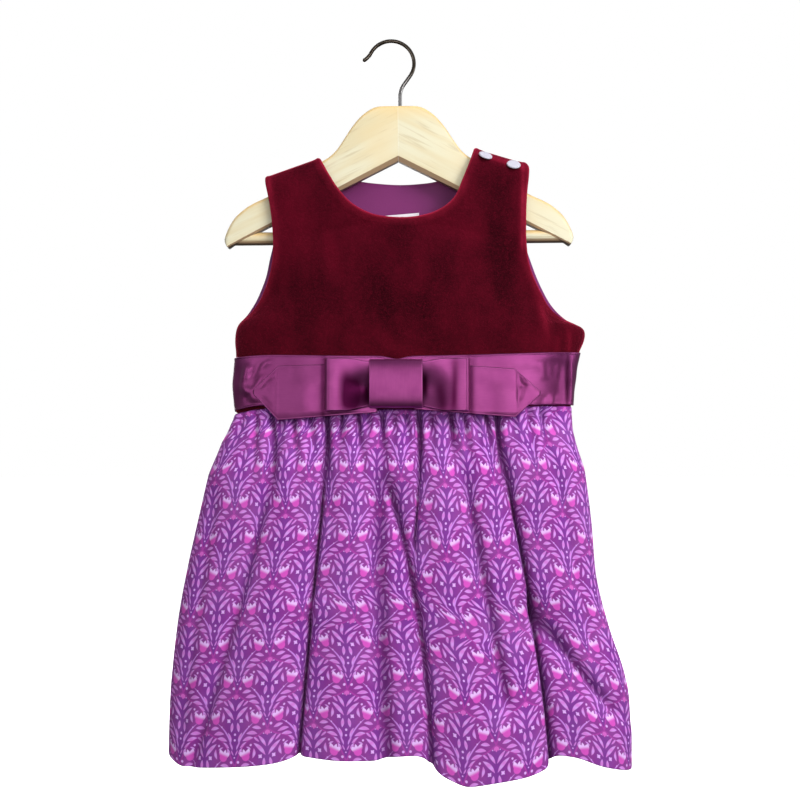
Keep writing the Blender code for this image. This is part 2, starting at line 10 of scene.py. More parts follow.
import bpy
import numpy as np
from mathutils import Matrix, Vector


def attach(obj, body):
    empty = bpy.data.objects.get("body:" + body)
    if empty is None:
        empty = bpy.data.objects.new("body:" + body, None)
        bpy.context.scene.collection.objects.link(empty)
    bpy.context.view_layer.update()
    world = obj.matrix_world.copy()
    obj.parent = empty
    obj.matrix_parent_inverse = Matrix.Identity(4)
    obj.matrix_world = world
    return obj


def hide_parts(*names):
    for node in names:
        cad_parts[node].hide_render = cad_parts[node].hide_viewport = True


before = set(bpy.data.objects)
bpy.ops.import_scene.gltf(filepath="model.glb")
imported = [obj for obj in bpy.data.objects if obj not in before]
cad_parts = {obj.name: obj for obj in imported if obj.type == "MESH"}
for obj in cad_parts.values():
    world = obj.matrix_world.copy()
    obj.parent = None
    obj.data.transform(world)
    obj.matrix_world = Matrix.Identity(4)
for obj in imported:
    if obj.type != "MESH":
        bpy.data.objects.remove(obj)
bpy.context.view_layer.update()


# ==== hook ====
# One length of round steel wire, turned cold into a hook and screwed into the top of the hanger.
# The polish is a little dull, and the cut tip is turned outwards so that it doesn't catch.

MM = 0.001
HOOK_WIRE = 3.4
HOOK_RADIUS = 20.3  # of the round's centre line
HOOK_CENTRE = -7.9  # x of the round's centre
HOOK_TURN = (152.0, -35.0)  # degrees from +X where the round starts and stops
HOOK_TIP = 10.0  # length past the round, to the cut end
TIP_FLARE = 3.0  # how far the cut end is turned outwards
TIP_ROUND = 1.4  # length over which the cut end is rounded off
HOOK_BEND = 17.7  # radius of the bend above the shank
SHANK_FOOT = -55.9  # z where the wire goes into the hanger
WIRE_STEP = 0.6  # from one ring of the wire to the next


def rings_to_mesh(name, rings, material, smooth=True):
    """A closed solid: faces between one closed ring of points (mm) and the next, and one in each end.

    With a further axis in front, `rings` holds several solids for one mesh. Where the volume inside
    comes out below 0, the faces look inwards, so all of them are turned round.
    """
    solids = rings.reshape(-1, *rings.shape[-3:])
    count, corners = solids.shape[1:3]
    begin = np.arange(len(solids))[:, None] * count * corners
    first = np.arange(count - 1)[:, None] * corners
    here = first + np.arange(corners)
    beside = first + (np.arange(corners) + 1) % corners
    sides = np.stack([here, beside, beside + corners, here + corners], axis=-1).reshape(1, -1, 4)
    starts = begin + np.arange(corners)[::-1]
    ends = begin + np.arange(corners) + (count - 1) * corners
    points = solids.reshape(-1, 3) * MM
    corner = points[sides[0]]
    volume = np.einsum("ij,ij->", corner[:, 0], np.cross(corner[:, 1], corner[:, 2]))
    volume += np.einsum("ij,ij->", corner[:, 0], np.cross(corner[:, 2], corner[:, 3]))
    every = [*(sides + begin[..., None]).reshape(-1, 4).tolist(), *starts.tolist(), *ends.tolist()]
    if volume < 0:
        every = [face[::-1] for face in every]
    mesh = bpy.data.meshes.new(name)
    mesh.from_pydata(points.tolist(), [], every)
    if smooth:
        mesh.shade_smooth()
        mesh.set_sharp_from_angle(angle=math.radians(40))
    mesh.materials.append(material)
    piece = bpy.data.objects.new(name, mesh)
    bpy.context.collection.objects.link(piece)
    return piece


def new_material(name, colour, roughness, **sockets):
    """A Principled material; further sockets are given by name, with _ for a space."""
    material = bpy.data.materials.new(name)
    material.use_nodes = True
    shader = material.node_tree.nodes["Principled BSDF"]
    shader.inputs["Base Color"].default_value = (*colour, 1.0)
    shader.inputs["Roughness"].default_value = roughness
    for socket, value in sockets.items():
        shader.inputs[socket.replace("_", " ")].default_value = value
    return material, shader


class Signal:
    """A number that varies over a surface. Arithmetic on it adds Math nodes to its material."""

    def __init__(self, tree, socket):
        self.tree = tree
        self.socket = socket

    def math(self, operation, *others):
        """What a Math node makes of this number and the others."""
        node = self.tree.nodes.new("ShaderNodeMath")
        node.operation = operation
        for place, item in enumerate((self, *others)):
            if isinstance(item, Signal):
                self.tree.links.new(item.socket, node.inputs[place])
            else:
                node.inputs[place].default_value = item
        return Signal(self.tree, node.outputs[0])

    def __add__(self, other):
        return self.math("ADD", other)

    def __sub__(self, other):
        return self.math("SUBTRACT", other)

    def __mul__(self, other):
        return self.math("MULTIPLY", other)

    def __truediv__(self, other):
        return self.math("DIVIDE", other)

    def __neg__(self):
        return self.math("MULTIPLY", -1.0)

    def __abs__(self):
        return self.math("ABSOLUTE")

    def __rsub__(self, other):
        return -self + other

    __radd__ = __add__
    __rmul__ = __mul__

    def clamped(self, low, high):
        """0 at low, 1 at high, and a smooth step between them."""
        node = self.tree.nodes.new("ShaderNodeMapRange")
        node.interpolation_type = "SMOOTHSTEP"
        node.inputs["From Min"].default_value = low
        node.inputs["From Max"].default_value = high
        self.tree.links.new(self.socket, node.inputs["Value"])
        return Signal(self.tree, node.outputs["Result"])


def object_place(tree):
    """The socket that gives a point's place in metres."""
    return tree.nodes.new("ShaderNodeTexCoord").outputs["Object"]


def axis_of(tree, vector, axis):
    """One of the three numbers of a vector socket."""
    split = tree.nodes.new("ShaderNodeSeparateXYZ")
    tree.links.new(vector, split.inputs["Vector"])
    return Signal(tree, split.outputs[axis])


def noise(tree, scale, detail=3.0, stretch=(1.0, 1.0, 1.0), roughness=0.5, place=None):
    """Cloudy variation from 0 to 1, `scale` clouds to the metre, stretched by 1 / `stretch`.

    It reads the vector socket `place`, or else each point's own place.
    """
    mapping = tree.nodes.new("ShaderNodeMapping")
    mapping.inputs["Scale"].default_value = stretch
    clouds = tree.nodes.new("ShaderNodeTexNoise")
    clouds.inputs["Scale"].default_value = scale
    clouds.inputs["Detail"].default_value = detail
    clouds.inputs["Roughness"].default_value = roughness
    tree.links.new(object_place(tree) if place is None else place, mapping.inputs["Vector"])
    tree.links.new(mapping.outputs["Vector"], clouds.inputs["Vector"])
    return Signal(tree, clouds.outputs["Fac"])


def blend_colours(tree, amount, low, high):
    """The colour that goes from low to high with amount. Each colour is a triple or a socket."""
    mix = tree.nodes.new("ShaderNodeMix")
    mix.data_type = "RGBA"
    for place, colour in ((6, low), (7, high)):
        if isinstance(colour, bpy.types.NodeSocket):
            tree.links.new(colour, mix.inputs[place])
        else:
            mix.inputs[place].default_value = (*colour, 1.0)
    tree.links.new(amount.socket, mix.inputs[0])
    return mix.outputs[2]


def relief(tree, shader, height, depth):
    """Bump of `depth` metres where height goes from 0 to 1."""
    bump = tree.nodes.new("ShaderNodeBump")
    bump.inputs["Strength"].default_value = 1.0
    bump.inputs["Distance"].default_value = depth
    tree.links.new(height.socket, bump.inputs["Height"])
    tree.links.new(bump.outputs["Normal"], shader.inputs["Normal"])


def length_along(x, z):
    """The length of a line from its start to each of its points: the sum of its steps."""
    return np.concatenate([[0], np.cumsum(np.hypot(np.diff(x), np.diff(z)))])


def around(count):
    """`count` angles, evenly spaced round a circle."""
    return np.linspace(0, 2 * math.pi, count + 1)[:-1]


def hook_line():
    """Centre line of the wire: tip, round, straight, bend and shank, with a point at every WIRE_STEP.

    The round is an arc whose inner side runs through the origin. The straight leaves it at its
    tangent, and the bend is an arc back to upright. At p from 0 to 1 along the tip, it has turned
    outwards by TIP_FLARE p^2.2.
    """
    inner = HOOK_RADIUS - HOOK_WIRE / 2
    centre_z = -math.sqrt(inner**2 - HOOK_CENTRE**2)
    start, stop = np.radians(HOOK_TURN)
    past = np.linspace(HOOK_TIP, 0, 24)[:-1]
    flare = TIP_FLARE * (past / HOOK_TIP) ** 2.2
    out = np.array([math.cos(start), math.sin(start)])
    back = np.array([-math.sin(start), math.cos(start)])
    turn = np.linspace(start, stop, 110)
    x = HOOK_CENTRE + HOOK_RADIUS * np.cos(turn)
    z = centre_z + HOOK_RADIUS * np.sin(turn)
    tip = np.array([x[0], z[0]]) + past[:, None] * back + flare[:, None] * out
    straight = (x[-1] - HOOK_BEND * (1 - math.cos(stop))) / -math.sin(stop)
    turn_back = np.linspace(stop, 0, 18)
    bend_x = HOOK_BEND * (1 - np.cos(turn_back))
    bend_z = z[-1] - straight * math.cos(stop) + HOOK_BEND * (math.sin(stop) - np.sin(turn_back))
    x = np.concatenate([tip[:, 0], x, bend_x, [0.0]])
    z = np.concatenate([tip[:, 1], z, bend_z, [SHANK_FOOT]])
    run = length_along(x, z)
    even = np.linspace(0, run[-1], int(run[-1] / WIRE_STEP))
    return np.interp(even, run, x), np.interp(even, run, z), even


def wire_rings():
    """A circle carried along the hook's line, drawn in at the tip to a quarter round of TIP_ROUND."""
    x, z, run = hook_line()
    slope_x, slope_z = np.gradient(x), np.gradient(z)
    length = np.hypot(slope_x, slope_z)
    across = np.stack([-slope_z / length, np.zeros_like(x), slope_x / length], axis=-1)
    from_end = np.minimum(run / TIP_ROUND, 1)
    radius = HOOK_WIRE / 2 * np.sqrt(np.clip(1 - (1 - from_end) ** 2, 0.02, 1))
    angle = around(24)
    centre = np.stack([x, np.zeros_like(x), z], axis=-1)
    side = np.array([0.0, 1.0, 0.0])
    offset = np.cos(angle)[:, None] * across[:, None] + np.sin(angle)[:, None] * side
    return centre[:, None] + radius[:, None, None] * offset


steel, shader = new_material("hook_steel", (0.20, 0.18, 0.16), 0.16, Metallic=1.0)
tree = steel.node_tree
tarnish = noise(tree, 70.0, 3.0).clamped(0.35, 0.65)
drawn = noise(tree, 600.0, 2.0, (0.3, 1.0, 0.3))
# Painted reflection: the steel's colour is made paler down the shank.
shank_painted_reflection = (-axis_of(tree, object_place(tree), "Z")).clamped(0.022, 0.052)  # bright along the shank
steel_tint = blend_colours(tree, tarnish, (0.055, 0.040, 0.028), (0.15, 0.125, 0.10))
steel_tint = blend_colours(tree, shank_painted_reflection * 0.85, steel_tint, (0.58, 0.57, 0.58))
steel_tint = blend_colours(tree, drawn * 0.15, steel_tint, (0.30, 0.28, 0.26))
tree.links.new(steel_tint, shader.inputs["Base Color"])
tree.links.new((tarnish * 0.08 + 0.10).socket, shader.inputs["Roughness"])
hook = rings_to_mesh("hook_wire", wire_rings(), steel)
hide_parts("hanger_hook")
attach(hook, "root")


# ==== hanger ====
# Two arms sawn from 13 mm beech and joined in a glued mitre under the hook, their edges rounded
# with a router, and a turned bar between their ends. Sanded and left under a thin clear lacquer.

ARM_THICK = 13.0
ARM_ROUND = 4.2  # radius along the edges
ARM_BEVEL = (3.9, 1.2)  # flat cut along the front of the lower edge, at the mitre and at the tip
ARM_APEX = -105.6  # z of the lower edge at the mitre
ARM_TIP = (150.6, -181.8)
ARM_END = 1.2  # from an arm's last ring to its tip
MITRE_GAP = 0.05  # from the middle to each arm
HUNG_TURN = math.radians(0.5)  # the hanger hangs a little askew,
HUNG_ABOUT = (-1.1, -150.0)  # turned about a point in its middle
BAR_DIAMETER = 11.5
BAR_Z = -173.4
BAR_CLEAR = 0.6  # along x, from each end to the arm's edge


def table(columns, *rows):
    """A table of sizes as a dictionary of its named columns."""
    return dict(zip(columns.split(), np.array(rows).T))


ARM_TOP = table(
    "x z",
    (MITRE_GAP, -56.2), (9.0, -56.2), (17.5, -56.6), (24.0, -58.9), (32.4, -65.0), (40.8, -74.8),
    (48.9, -87.2), (54.6, -95.4), (61.2, -101.6), (70.6, -107.4), (92.0, -121.2),
    (112.3, -134.8), (127.5, -142.2), (135.7, -147.3), (144.1, -155.0), (149.8, -164.2),
    (153.2, -173.0), (152.9, -177.0), ARM_TIP,
)


def curve(values, places, before=None, after=None):
    """Catmull-Rom curve through a column of a table, read at fractional row numbers.

    Between two rows it is the cubic whose slope at each row is half the step from the row below to
    the row above. `before` and `after` stand for the rows past the ends.
    """
    first = 2 * values[0] - values[1] if before is None else before
    last = 2 * values[-1] - values[-2] if after is None else after
    padded = np.concatenate([[first], values, [last]])
    slope = (padded[2:] - padded[:-2]) / 2
    row = np.clip(np.floor(places).astype(int), 0, len(values) - 2)
    t = places - row
    start = values[row] * (2 * t**3 - 3 * t**2 + 1) + slope[row] * (t**3 - 2 * t**2 + t)
    return start + values[row + 1] * (3 * t**2 - 2 * t**3) + slope[row + 1] * (t**3 - t**2)


def arm_rings(side):
    """Rounded rectangles from the arm's lower edge to its top edge, from the mitre out to the tip.

    Each ring lies across the arm: `up` runs along it from the lower edge, `y` through the thickness.
    Quarter circles of radius ARM_ROUND join three pairs of its sides, and a flat bevel joins the
    front to the lower edge. Both are smaller where the arm runs out.
    """
    places = np.linspace(0, len(ARM_TOP["x"]) - 1, 400)
    x, z = (curve(ARM_TOP[name], places) for name in ("x", "z"))
    run = length_along(x, z)
    even = np.linspace(0, run[-1] - ARM_END, 130)
    top = np.stack([np.interp(even, run, x), np.interp(even, run, z)], axis=-1)
    share = (even / run[-1])[:, None]
    low = (1 - share) * (MITRE_GAP, ARM_APEX) + share * ARM_TIP
    height = np.linalg.norm(top - low, axis=1)
    radius = np.minimum(ARM_ROUND, 0.48 * height)[:, None]
    quarter = np.linspace(0, math.pi / 2, 8)
    angle = np.concatenate([quarter + turn * math.pi / 2 for turn in range(4)])
    right = np.repeat([1, -1, -1, 1], len(quarter))
    upper = np.repeat([1, 1, 0, 0], len(quarter))
    y = right * (ARM_THICK / 2 - radius) + radius * np.cos(angle)
    up = np.where(upper, height[:, None] - radius, radius) + radius * np.sin(angle)
    bevel = np.minimum(ARM_BEVEL[0] + share * (ARM_BEVEL[1] - ARM_BEVEL[0]), 0.6 * height[:, None])
    cut = slice(2 * len(quarter), 3 * len(quarter))
    way = quarter / quarter[-1]
    y[:, cut] = -ARM_THICK / 2 + bevel * way
    up[:, cut] = bevel * (1 - way)
    along = (top - low) / height[:, None]
    place = low[:, None] + up[:, :, None] * along[:, None]
    return askew(np.stack([side * place[..., 0], y, place[..., 1]], axis=-1))


def askew(points):
    """The points turned by HUNG_TURN in the plane of the hanger: left end down, right end up."""
    x, z = points[..., 0], points[..., 2] - HUNG_ABOUT[1]
    turned_x = x * math.cos(HUNG_TURN) - z * math.sin(HUNG_TURN) + HUNG_ABOUT[0]
    turned_z = z * math.cos(HUNG_TURN) + x * math.sin(HUNG_TURN) + HUNG_ABOUT[1]
    return np.stack([turned_x, points[..., 1], turned_z], axis=-1)


def bar_rings():
    """A round bar along x, cut at both ends to the slope of the arms' lower edges."""
    slope = (ARM_TIP[1] - ARM_APEX) / ARM_TIP[0]
    angle = around(40)
    y = BAR_DIAMETER / 2 * np.cos(angle)
    z = BAR_Z + BAR_DIAMETER / 2 * np.sin(angle)
    reach = (z - ARM_APEX) / slope - BAR_CLEAR
    x = np.linspace(-1, 1, 60)[:, None] * reach
    return askew(np.stack([x, np.broadcast_to(y, x.shape), np.broadcast_to(z, x.shape)], axis=-1))


def beech(name, tilt, underside_shade_colour=(0.37, 0.225, 0.125)):
    """Pale beech whose grain runs at `tilt` radians to x: growth lines, short flecks and blotches.

    Faces that look up get painted warm light, and those that look down go from painted shade in
    `underside_shade_colour` to painted shadow that is nearly black.
    """
    material, shader = new_material(name, (0.8, 0.7, 0.5), 0.42, Coat_Weight=0.25, Coat_Roughness=0.3)
    tree = material.node_tree
    mapping = tree.nodes.new("ShaderNodeMapping")
    mapping.inputs["Rotation"].default_value = (0, tilt, 0)
    tree.links.new(object_place(tree), mapping.inputs["Vector"])
    turned = mapping.outputs["Vector"]
    lines = noise(tree, 90.0, 4.0, (0.10, 1.0, 1.6), place=turned).clamped(0.35, 0.68)
    flecks = noise(tree, 420.0, 2.0, (0.07, 1.0, 1.0), place=turned).clamped(0.56, 0.74)
    blotches = noise(tree, 24.0, 2.0, (0.5, 1.0, 1.0), place=turned).clamped(0.40, 0.72)
    pale = blend_colours(tree, lines, (0.66, 0.62, 0.45), (0.62, 0.54, 0.34))
    warm = blend_colours(tree, blotches * 0.6, pale, (0.68, 0.54, 0.30))
    colour = blend_colours(tree, flecks * 0.45, warm, (0.46, 0.36, 0.20))
    upward = axis_of(tree, tree.nodes.new("ShaderNodeNewGeometry").outputs["Normal"], "Z")
    # Painted warm light: faces that look up, and the top of each arm, are made warmer.
    colour = blend_colours(tree, upward.clamped(0.02, 0.55) * 0.8, colour, (0.64, 0.42, 0.16))
    top_painted_warmth = axis_of(tree, object_place(tree), "Z").clamped(-0.072, -0.057)  # painted warm light along the top
    colour = blend_colours(tree, top_painted_warmth * 0.6, colour, (0.72, 0.53, 0.24))
    underside_painted_shade = (-upward).clamped(0.35, 0.60)  # painted shade on faces that look down
    colour = blend_colours(tree, underside_painted_shade * 0.85, colour, underside_shade_colour)
    # Painted shadow: faces that look straight down go nearly black.
    under = (-upward).clamped(0.70, 0.86)
    colour = blend_colours(tree, under * 0.8, colour, (0.07, 0.045, 0.026))
    tree.links.new(colour, shader.inputs["Base Color"])
    tree.links.new((lines * 0.12 + 0.36).socket, shader.inputs["Roughness"])
    relief(tree, shader, flecks * -0.6 + lines * 0.4, 0.00012)
    return material


arm_slope = math.atan2(ARM_TIP[1] - ARM_APEX, ARM_TIP[0])
# The right arm's painted underside shade is paler than the left's.
for name, node, side, underside_shade_colour in (
    ("left_arm", "hanger_arm_left", -1, (0.40, 0.245, 0.14)),
    ("right_arm", "hanger_arm_right", 1, (0.64, 0.42, 0.25)),
):
    arm = rings_to_mesh(name, arm_rings(side), beech(name + "_beech", side * arm_slope, underside_shade_colour))
    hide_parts(node)
    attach(arm, "root")
bar = rings_to_mesh("hanger_dowel", bar_rings(), beech("dowel_beech", 0.0))
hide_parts("hanger_bar")
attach(bar, "root")


# ==== bodice ====
# Front and back are each cut in one from cotton velvet, lined, and turned through, so every edge is
# a soft rolled fold with the facing's edge pressed through 8 mm inside it. The front's right strap
# laps over the shoulder on to the back and closes with two press studs; the left shoulder is sewn.

VELVET_WALL = 2.5
VELVET_ROLL = 2.2  # width of the rolled fold along an edge
SQUARENESS = 2.5  # exponent of the flattened oval that the cloth stands in
WAIST_Z = -327.5
SEAM_GAP = 0.3
SEAM_SHUT = 0.02  # from the middle to each panel's edge, where a side seam is pulled up
HALF_COLUMNS = "x_out y_out z_out x_in y_in z_in oval"
FRONT_LEFT = table(
    HALF_COLUMNS,
    (-143.5, -0.15, -327.5, 0.0, -28.0, -327.5, 1.00),
    (-146.0, -0.15, -303.0, 0.0, -28.0, -304.5, 1.00),
    (-143.9, -0.15, -279.5, 0.0, -28.0, -281.5, 1.00),
    (-141.9, -0.15, -254.0, 0.0, -27.5, -256.0, 1.00),
    (-130.6, -4.0, -242.0, 0.0, -26.5, -236.0, 0.80),
    (-121.4, -7.5, -228.0, 0.0, -25.5, -215.0, 0.50),
    (-114.5, -10.5, -210.5, 0.0, -24.5, -195.0, 0.30),
    (-111.2, -12.5, -194.0, 0.0, -23.0, -176.0, 0.15),
    (-110.6, -13.5, -180.0, 0.0, -21.0, -159.3, 0.00),
    (-111.2, -13.5, -169.0, -22.5, -21.0, -156.6, 0.00),
    (-112.4, -13.2, -157.0, -40.8, -20.0, -147.2, 0.00),
    (-114.0, -13.0, -146.0, -53.1, -18.0, -134.0, 0.00),
    (-116.0, -12.6, -136.0, -61.0, -15.0, -121.5, 0.00),
    (-117.8, -11.4, -128.0, -66.3, -12.2, -111.8, 0.00),
    (-118.6, -8.0, -122.4, -69.8, -8.8, -105.0, 0.00),
    (-118.7, -0.15, -120.8, -70.8, -0.15, -103.5, 0.00),
)
FRONT_RIGHT = table(
    HALF_COLUMNS,
    (151.8, -0.15, -327.5, 0.0, -28.0, -327.5, 1.00),
    (155.0, -0.15, -301.5, 0.0, -28.0, -304.5, 1.00),
    (157.8, -0.15, -277.0, 0.0, -28.0, -281.5, 1.00),
    (160.3, -0.15, -257.0, 0.0, -27.5, -256.0, 1.00),
    (144.1, -4.0, -249.0, 0.0, -26.5, -236.0, 0.80),
    (130.4, -7.5, -235.5, 0.0, -25.5, -215.0, 0.50),
    (119.2, -10.5, -216.0, 0.0, -24.5, -195.0, 0.30),
    (112.6, -12.5, -198.0, 0.0, -23.0, -176.0, 0.15),
    (110.4, -13.5, -182.0, 0.0, -21.0, -159.3, 0.00),
    (110.0, -13.5, -170.0, 19.5, -21.0, -157.4, 0.00),
    (110.2, -13.2, -158.0, 35.5, -20.0, -151.2, 0.00),
    (110.6, -13.0, -146.0, 47.5, -18.0, -140.2, 0.00),
    (111.4, -12.8, -134.0, 54.8, -16.0, -123.6, 0.00),
    (112.8, -12.6, -121.5, 60.4, -14.2, -109.4, 0.00),
    (113.2, -10.6, -112.8, 64.0, -10.8, -99.0, 0.00),
    (111.4, -4.0, -108.6, 65.4, -4.0, -94.6, 0.00),
    (110.6, 6.0, -109.0, 66.0, 6.0, -95.0, 0.00),
    (110.4, 13.5, -114.5, 66.0, 13.5, -101.5, 0.00),
    (110.4, 15.5, -121.0, 65.5, 16.0, -108.5, 0.00),
)
BACK_LEFT = table(
    HALF_COLUMNS,
    (-143.5, 0.15, -327.5, 0.0, 18.0, -327.5, 1.00),
    (-146.0, 0.15, -303.0, 0.0, 18.0, -304.0, 1.00),
    (-143.9, 0.15, -279.5, 0.0, 18.0, -280.5, 1.00),
    (-141.9, 0.15, -254.0, 0.0, 18.0, -252.0, 1.00),
    (-133.6, 4.0, -240.5, 0.0, 17.8, -228.0, 0.80),
    (-126.2, 7.5, -226.5, 0.0, 17.6, -204.0, 0.50),
    (-119.4, 10.5, -208.0, 0.0, 17.4, -181.0, 0.30),
    (-115.8, 12.3, -191.0, 0.0, 17.2, -160.0, 0.15),
    (-113.0, 13.0, -178.0, 0.0, 17.0, -141.0, 0.00),
    (-112.8, 13.2, -167.0, 0.0, 16.6, -123.0, 0.00),
    (-113.3, 13.0, -156.0, -22.0, 16.3, -121.6, 0.00),
    (-114.4, 12.8, -145.0, -37.0, 15.8, -119.4, 0.00),
    (-116.0, 12.4, -135.5, -51.0, 14.8, -115.4, 0.00),
    (-117.8, 11.2, -127.6, -61.0, 13.0, -110.6, 0.00),
    (-118.6, 8.0, -122.4, -69.2, 9.4, -104.8, 0.00),
    (-118.7, 0.15, -120.8, -70.8, 0.15, -103.5, 0.00),
)
BACK_RIGHT = table(
    HALF_COLUMNS,
    (151.8, 0.15, -327.5, 0.0, 18.0, -327.5, 1.00),
    (155.0, 0.15, -301.5, 0.0, 18.0, -304.0, 1.00),
    (157.8, 0.15, -277.0, 0.0, 18.0, -280.5, 1.00),
    (160.3, 0.15, -257.0, 0.0, 18.0, -252.0, 1.00),
    (146.0, 4.0, -246.5, 0.0, 17.8, -228.0, 0.80),
    (133.2, 7.5, -231.5, 0.0, 17.6, -204.0, 0.50),
    (123.2, 10.5, -211.5, 0.0, 17.4, -181.0, 0.30),
    (116.6, 12.3, -194.0, 0.0, 17.2, -160.0, 0.15),
    (112.4, 13.0, -180.0, 0.0, 17.0, -141.0, 0.00),
    (111.6, 13.2, -167.0, 0.0, 16.6, -123.0, 0.00),
    (111.4, 13.0, -155.0, 19.5, 16.3, -121.8, 0.00),
    (111.2, 12.6, -144.0, 33.0, 15.6, -119.6, 0.00),
    (110.8, 12.0, -135.0, 45.0, 14.4, -115.4, 0.00),
    (110.2, 11.4, -127.5, 55.5, 12.8, -110.0, 0.00),
    (109.6, 9.6, -121.6, 62.0, 10.4, -103.4, 0.00),
    (108.8, 5.0, -118.2, 65.0, 5.2, -100.4, 0.00),
    (108.4, -1.0, -117.6, 66.4, -1.0, -100.6, 0.00),
    (108.0, -6.0, -118.6, 67.2, -5.5, -101.8, 0.00),
)
WAIST = table(
    "x rise",  # how much higher than WAIST_Z the bodice meets the skirt
    (-150.0, -1.4), (-140.0, -0.6), (-128.0, 1.6), (-112.0, 3.0), (-85.0, 2.4), (-50.0, 1.7),
    (-10.0, 1.8), (30.0, 1.8), (65.0, 2.2), (95.0, 3.6), (120.0, 5.0), (140.0, 5.4), (165.0, 5.4),
)
WAIST_FADE = 50.0  # above the waist, over which its rise fades out
DRAWN_LEFT = 0.9  # how far the ribbon pulls each side seam in
DRAWN_RIGHT = 2.4
CALM_Z = -271.0  # the velvet is smooth below it, so that the ribbon lies flat
LAP_X = 58.0  # the front's right strap lies on the back's beyond this x and above this z
LAP_Z = -135.0
FACING = 8.0  # mm inside an edge where the facing's own edge presses through
CREASES = table(
    "x_top z_top x_low z_low depth width",
    (-65.0, -180.0, -52.0, -216.0, 0.9, 6.0),
    (-20.0, -170.0, -3.0, -204.0, 0.8, 7.0),
    (-20.0, -226.0, -8.0, -268.0, 0.7, 6.0),
    (44.0, -172.0, 66.0, -222.0, 0.6, 9.0),
    (-96.0, -226.0, -84.0, -262.0, 0.6, 8.0),
    (114.0, -212.0, 127.0, -268.0, -1.2, 5.0),
    (127.0, -226.0, 138.0, -270.0, 0.8, 4.0),
    (88.0, -240.0, 97.0, -274.0, 0.6, 7.0),
)
# The pile's tone, as painted shade: deeper where it has been stroked away from the light, and paler
# (a depth under 0) where it stands to it. The narrow pale rows along the straps, neckline and
# armholes are painted sheen, and the row along the waist is painted shadow under the ribbon.
FRONT_NAP_AND_PAINTED_LIGHT = table(
    "x_top z_top x_low z_low depth width",
    (-95.0, -128.0, -88.0, -200.0, -0.45, 20.0),
    (108.0, -106.0, 105.5, -204.0, -1.60, 3.0),
    (58.0, -97.0, 112.0, -115.0, -1.40, 4.2),
    (-113.0, -116.0, -117.0, -152.0, -1.10, 3.6),
    (-74.0, -104.0, -64.0, -118.0, -1.00, 4.0),
    (83.0, -112.0, 87.0, -226.0, 1.00, 14.0),
    (-66.0, -164.0, -52.0, -216.0, -0.55, 4.5),
    (-30.0, -188.0, -14.0, -262.0, 0.45, 30.0),
    (30.0, -196.0, 22.0, -272.0, 0.40, 24.0),
    (-18.0, -172.0, -2.0, -200.0, -0.50, 4.0),
    (-24.0, -254.0, -4.0, -274.0, -0.60, 5.0),
    (20.0, -160.0, 76.0, -176.0, -0.50, 10.0),
    (90.0, -190.0, 94.0, -246.0, 0.40, 9.0),
    (-92.0, -210.0, -86.0, -272.0, 0.35, 13.0),
    (-128.0, -250.0, -122.0, -276.0, -0.25, 12.0),
    (119.0, -216.0, 129.0, -276.0, -0.90, 6.0),
    (138.0, -244.0, 139.0, -282.0, 0.40, 5.0),
    (147.0, -254.0, 146.0, -280.0, -0.95, 3.0),
    (137.0, -260.0, 135.0, -282.0, -0.85, 2.6),
    (62.0, -236.0, 74.0, -276.0, -0.25, 14.0),
    (-190.0, -328.0, 190.0, -328.0, 1.60, 14.0),
)
# As on the front, the row along the waist is painted shadow under the ribbon.
BACK_NAP_AND_PAINTED_LIGHT = table(
    "x_top z_top x_low z_low depth width",
    (-94.0, -126.0, -90.0, -190.0, -0.40, 18.0),
    (86.0, -122.0, 84.0, -186.0, -0.40, 18.0),
    (-42.0, -150.0, -20.0, -262.0, 0.40, 26.0),
    (34.0, -170.0, 30.0, -268.0, 0.35, 22.0),
    (-70.0, -176.0, -58.0, -236.0, -0.45, 5.0),
    (6.0, -140.0, 2.0, -190.0, -0.40, 6.0),
    (66.0, -196.0, 84.0, -262.0, -0.40, 7.0),
    (-122.0, -232.0, -126.0, -276.0, -0.40, 10.0),
    (130.0, -236.0, 136.0, -276.0, -0.45, 9.0),
    (-190.0, -328.0, 190.0, -328.0, 1.60, 14.0),
)


def smooth(value, low, high):
    """0 at low, 1 at high, and a smooth step between them."""
    share = np.clip((value - low) / (high - low), 0, 1)
    return share * share * (3 - 2 * share)


def waist_rise(x, z):
    """WAIST's rise at each x, times exp(-(h / WAIST_FADE)^2), where h is the height above the waist."""
    rise = curve(WAIST["rise"], np.interp(x, WAIST["x"], np.arange(len(WAIST["x"]))))
    return rise * np.exp(-(((z - WAIST_Z) / WAIST_FADE) ** 2))


def drawn_in(x, z):
    """How far the tight ribbon pulls the side seams in, towards -x on the right and +x on the left.

    It sets in 118 mm from the middle of the dress. Up and down it falls off as exp(-(h / 30)^4),
    where h is the height from the middle of the ribbon, 22 mm above the waist.
    """
    near_seam = DRAWN_RIGHT * smooth(x, 118, 150) - DRAWN_LEFT * smooth(-x, 118, 142)
    return near_seam * np.exp(-(((z - WAIST_Z - 22) / 30) ** 4))


def column_shares(columns=50):
    """Shares of the way across half a panel, close together at both ends, where edges roll over."""
    near_edge = np.array([0.0, 0.004, 0.012, 0.025, 0.042])
    inner = np.linspace(0.065, 1 - 0.065, columns)
    return np.concatenate([near_edge, inner, 1 - near_edge[::-1]])


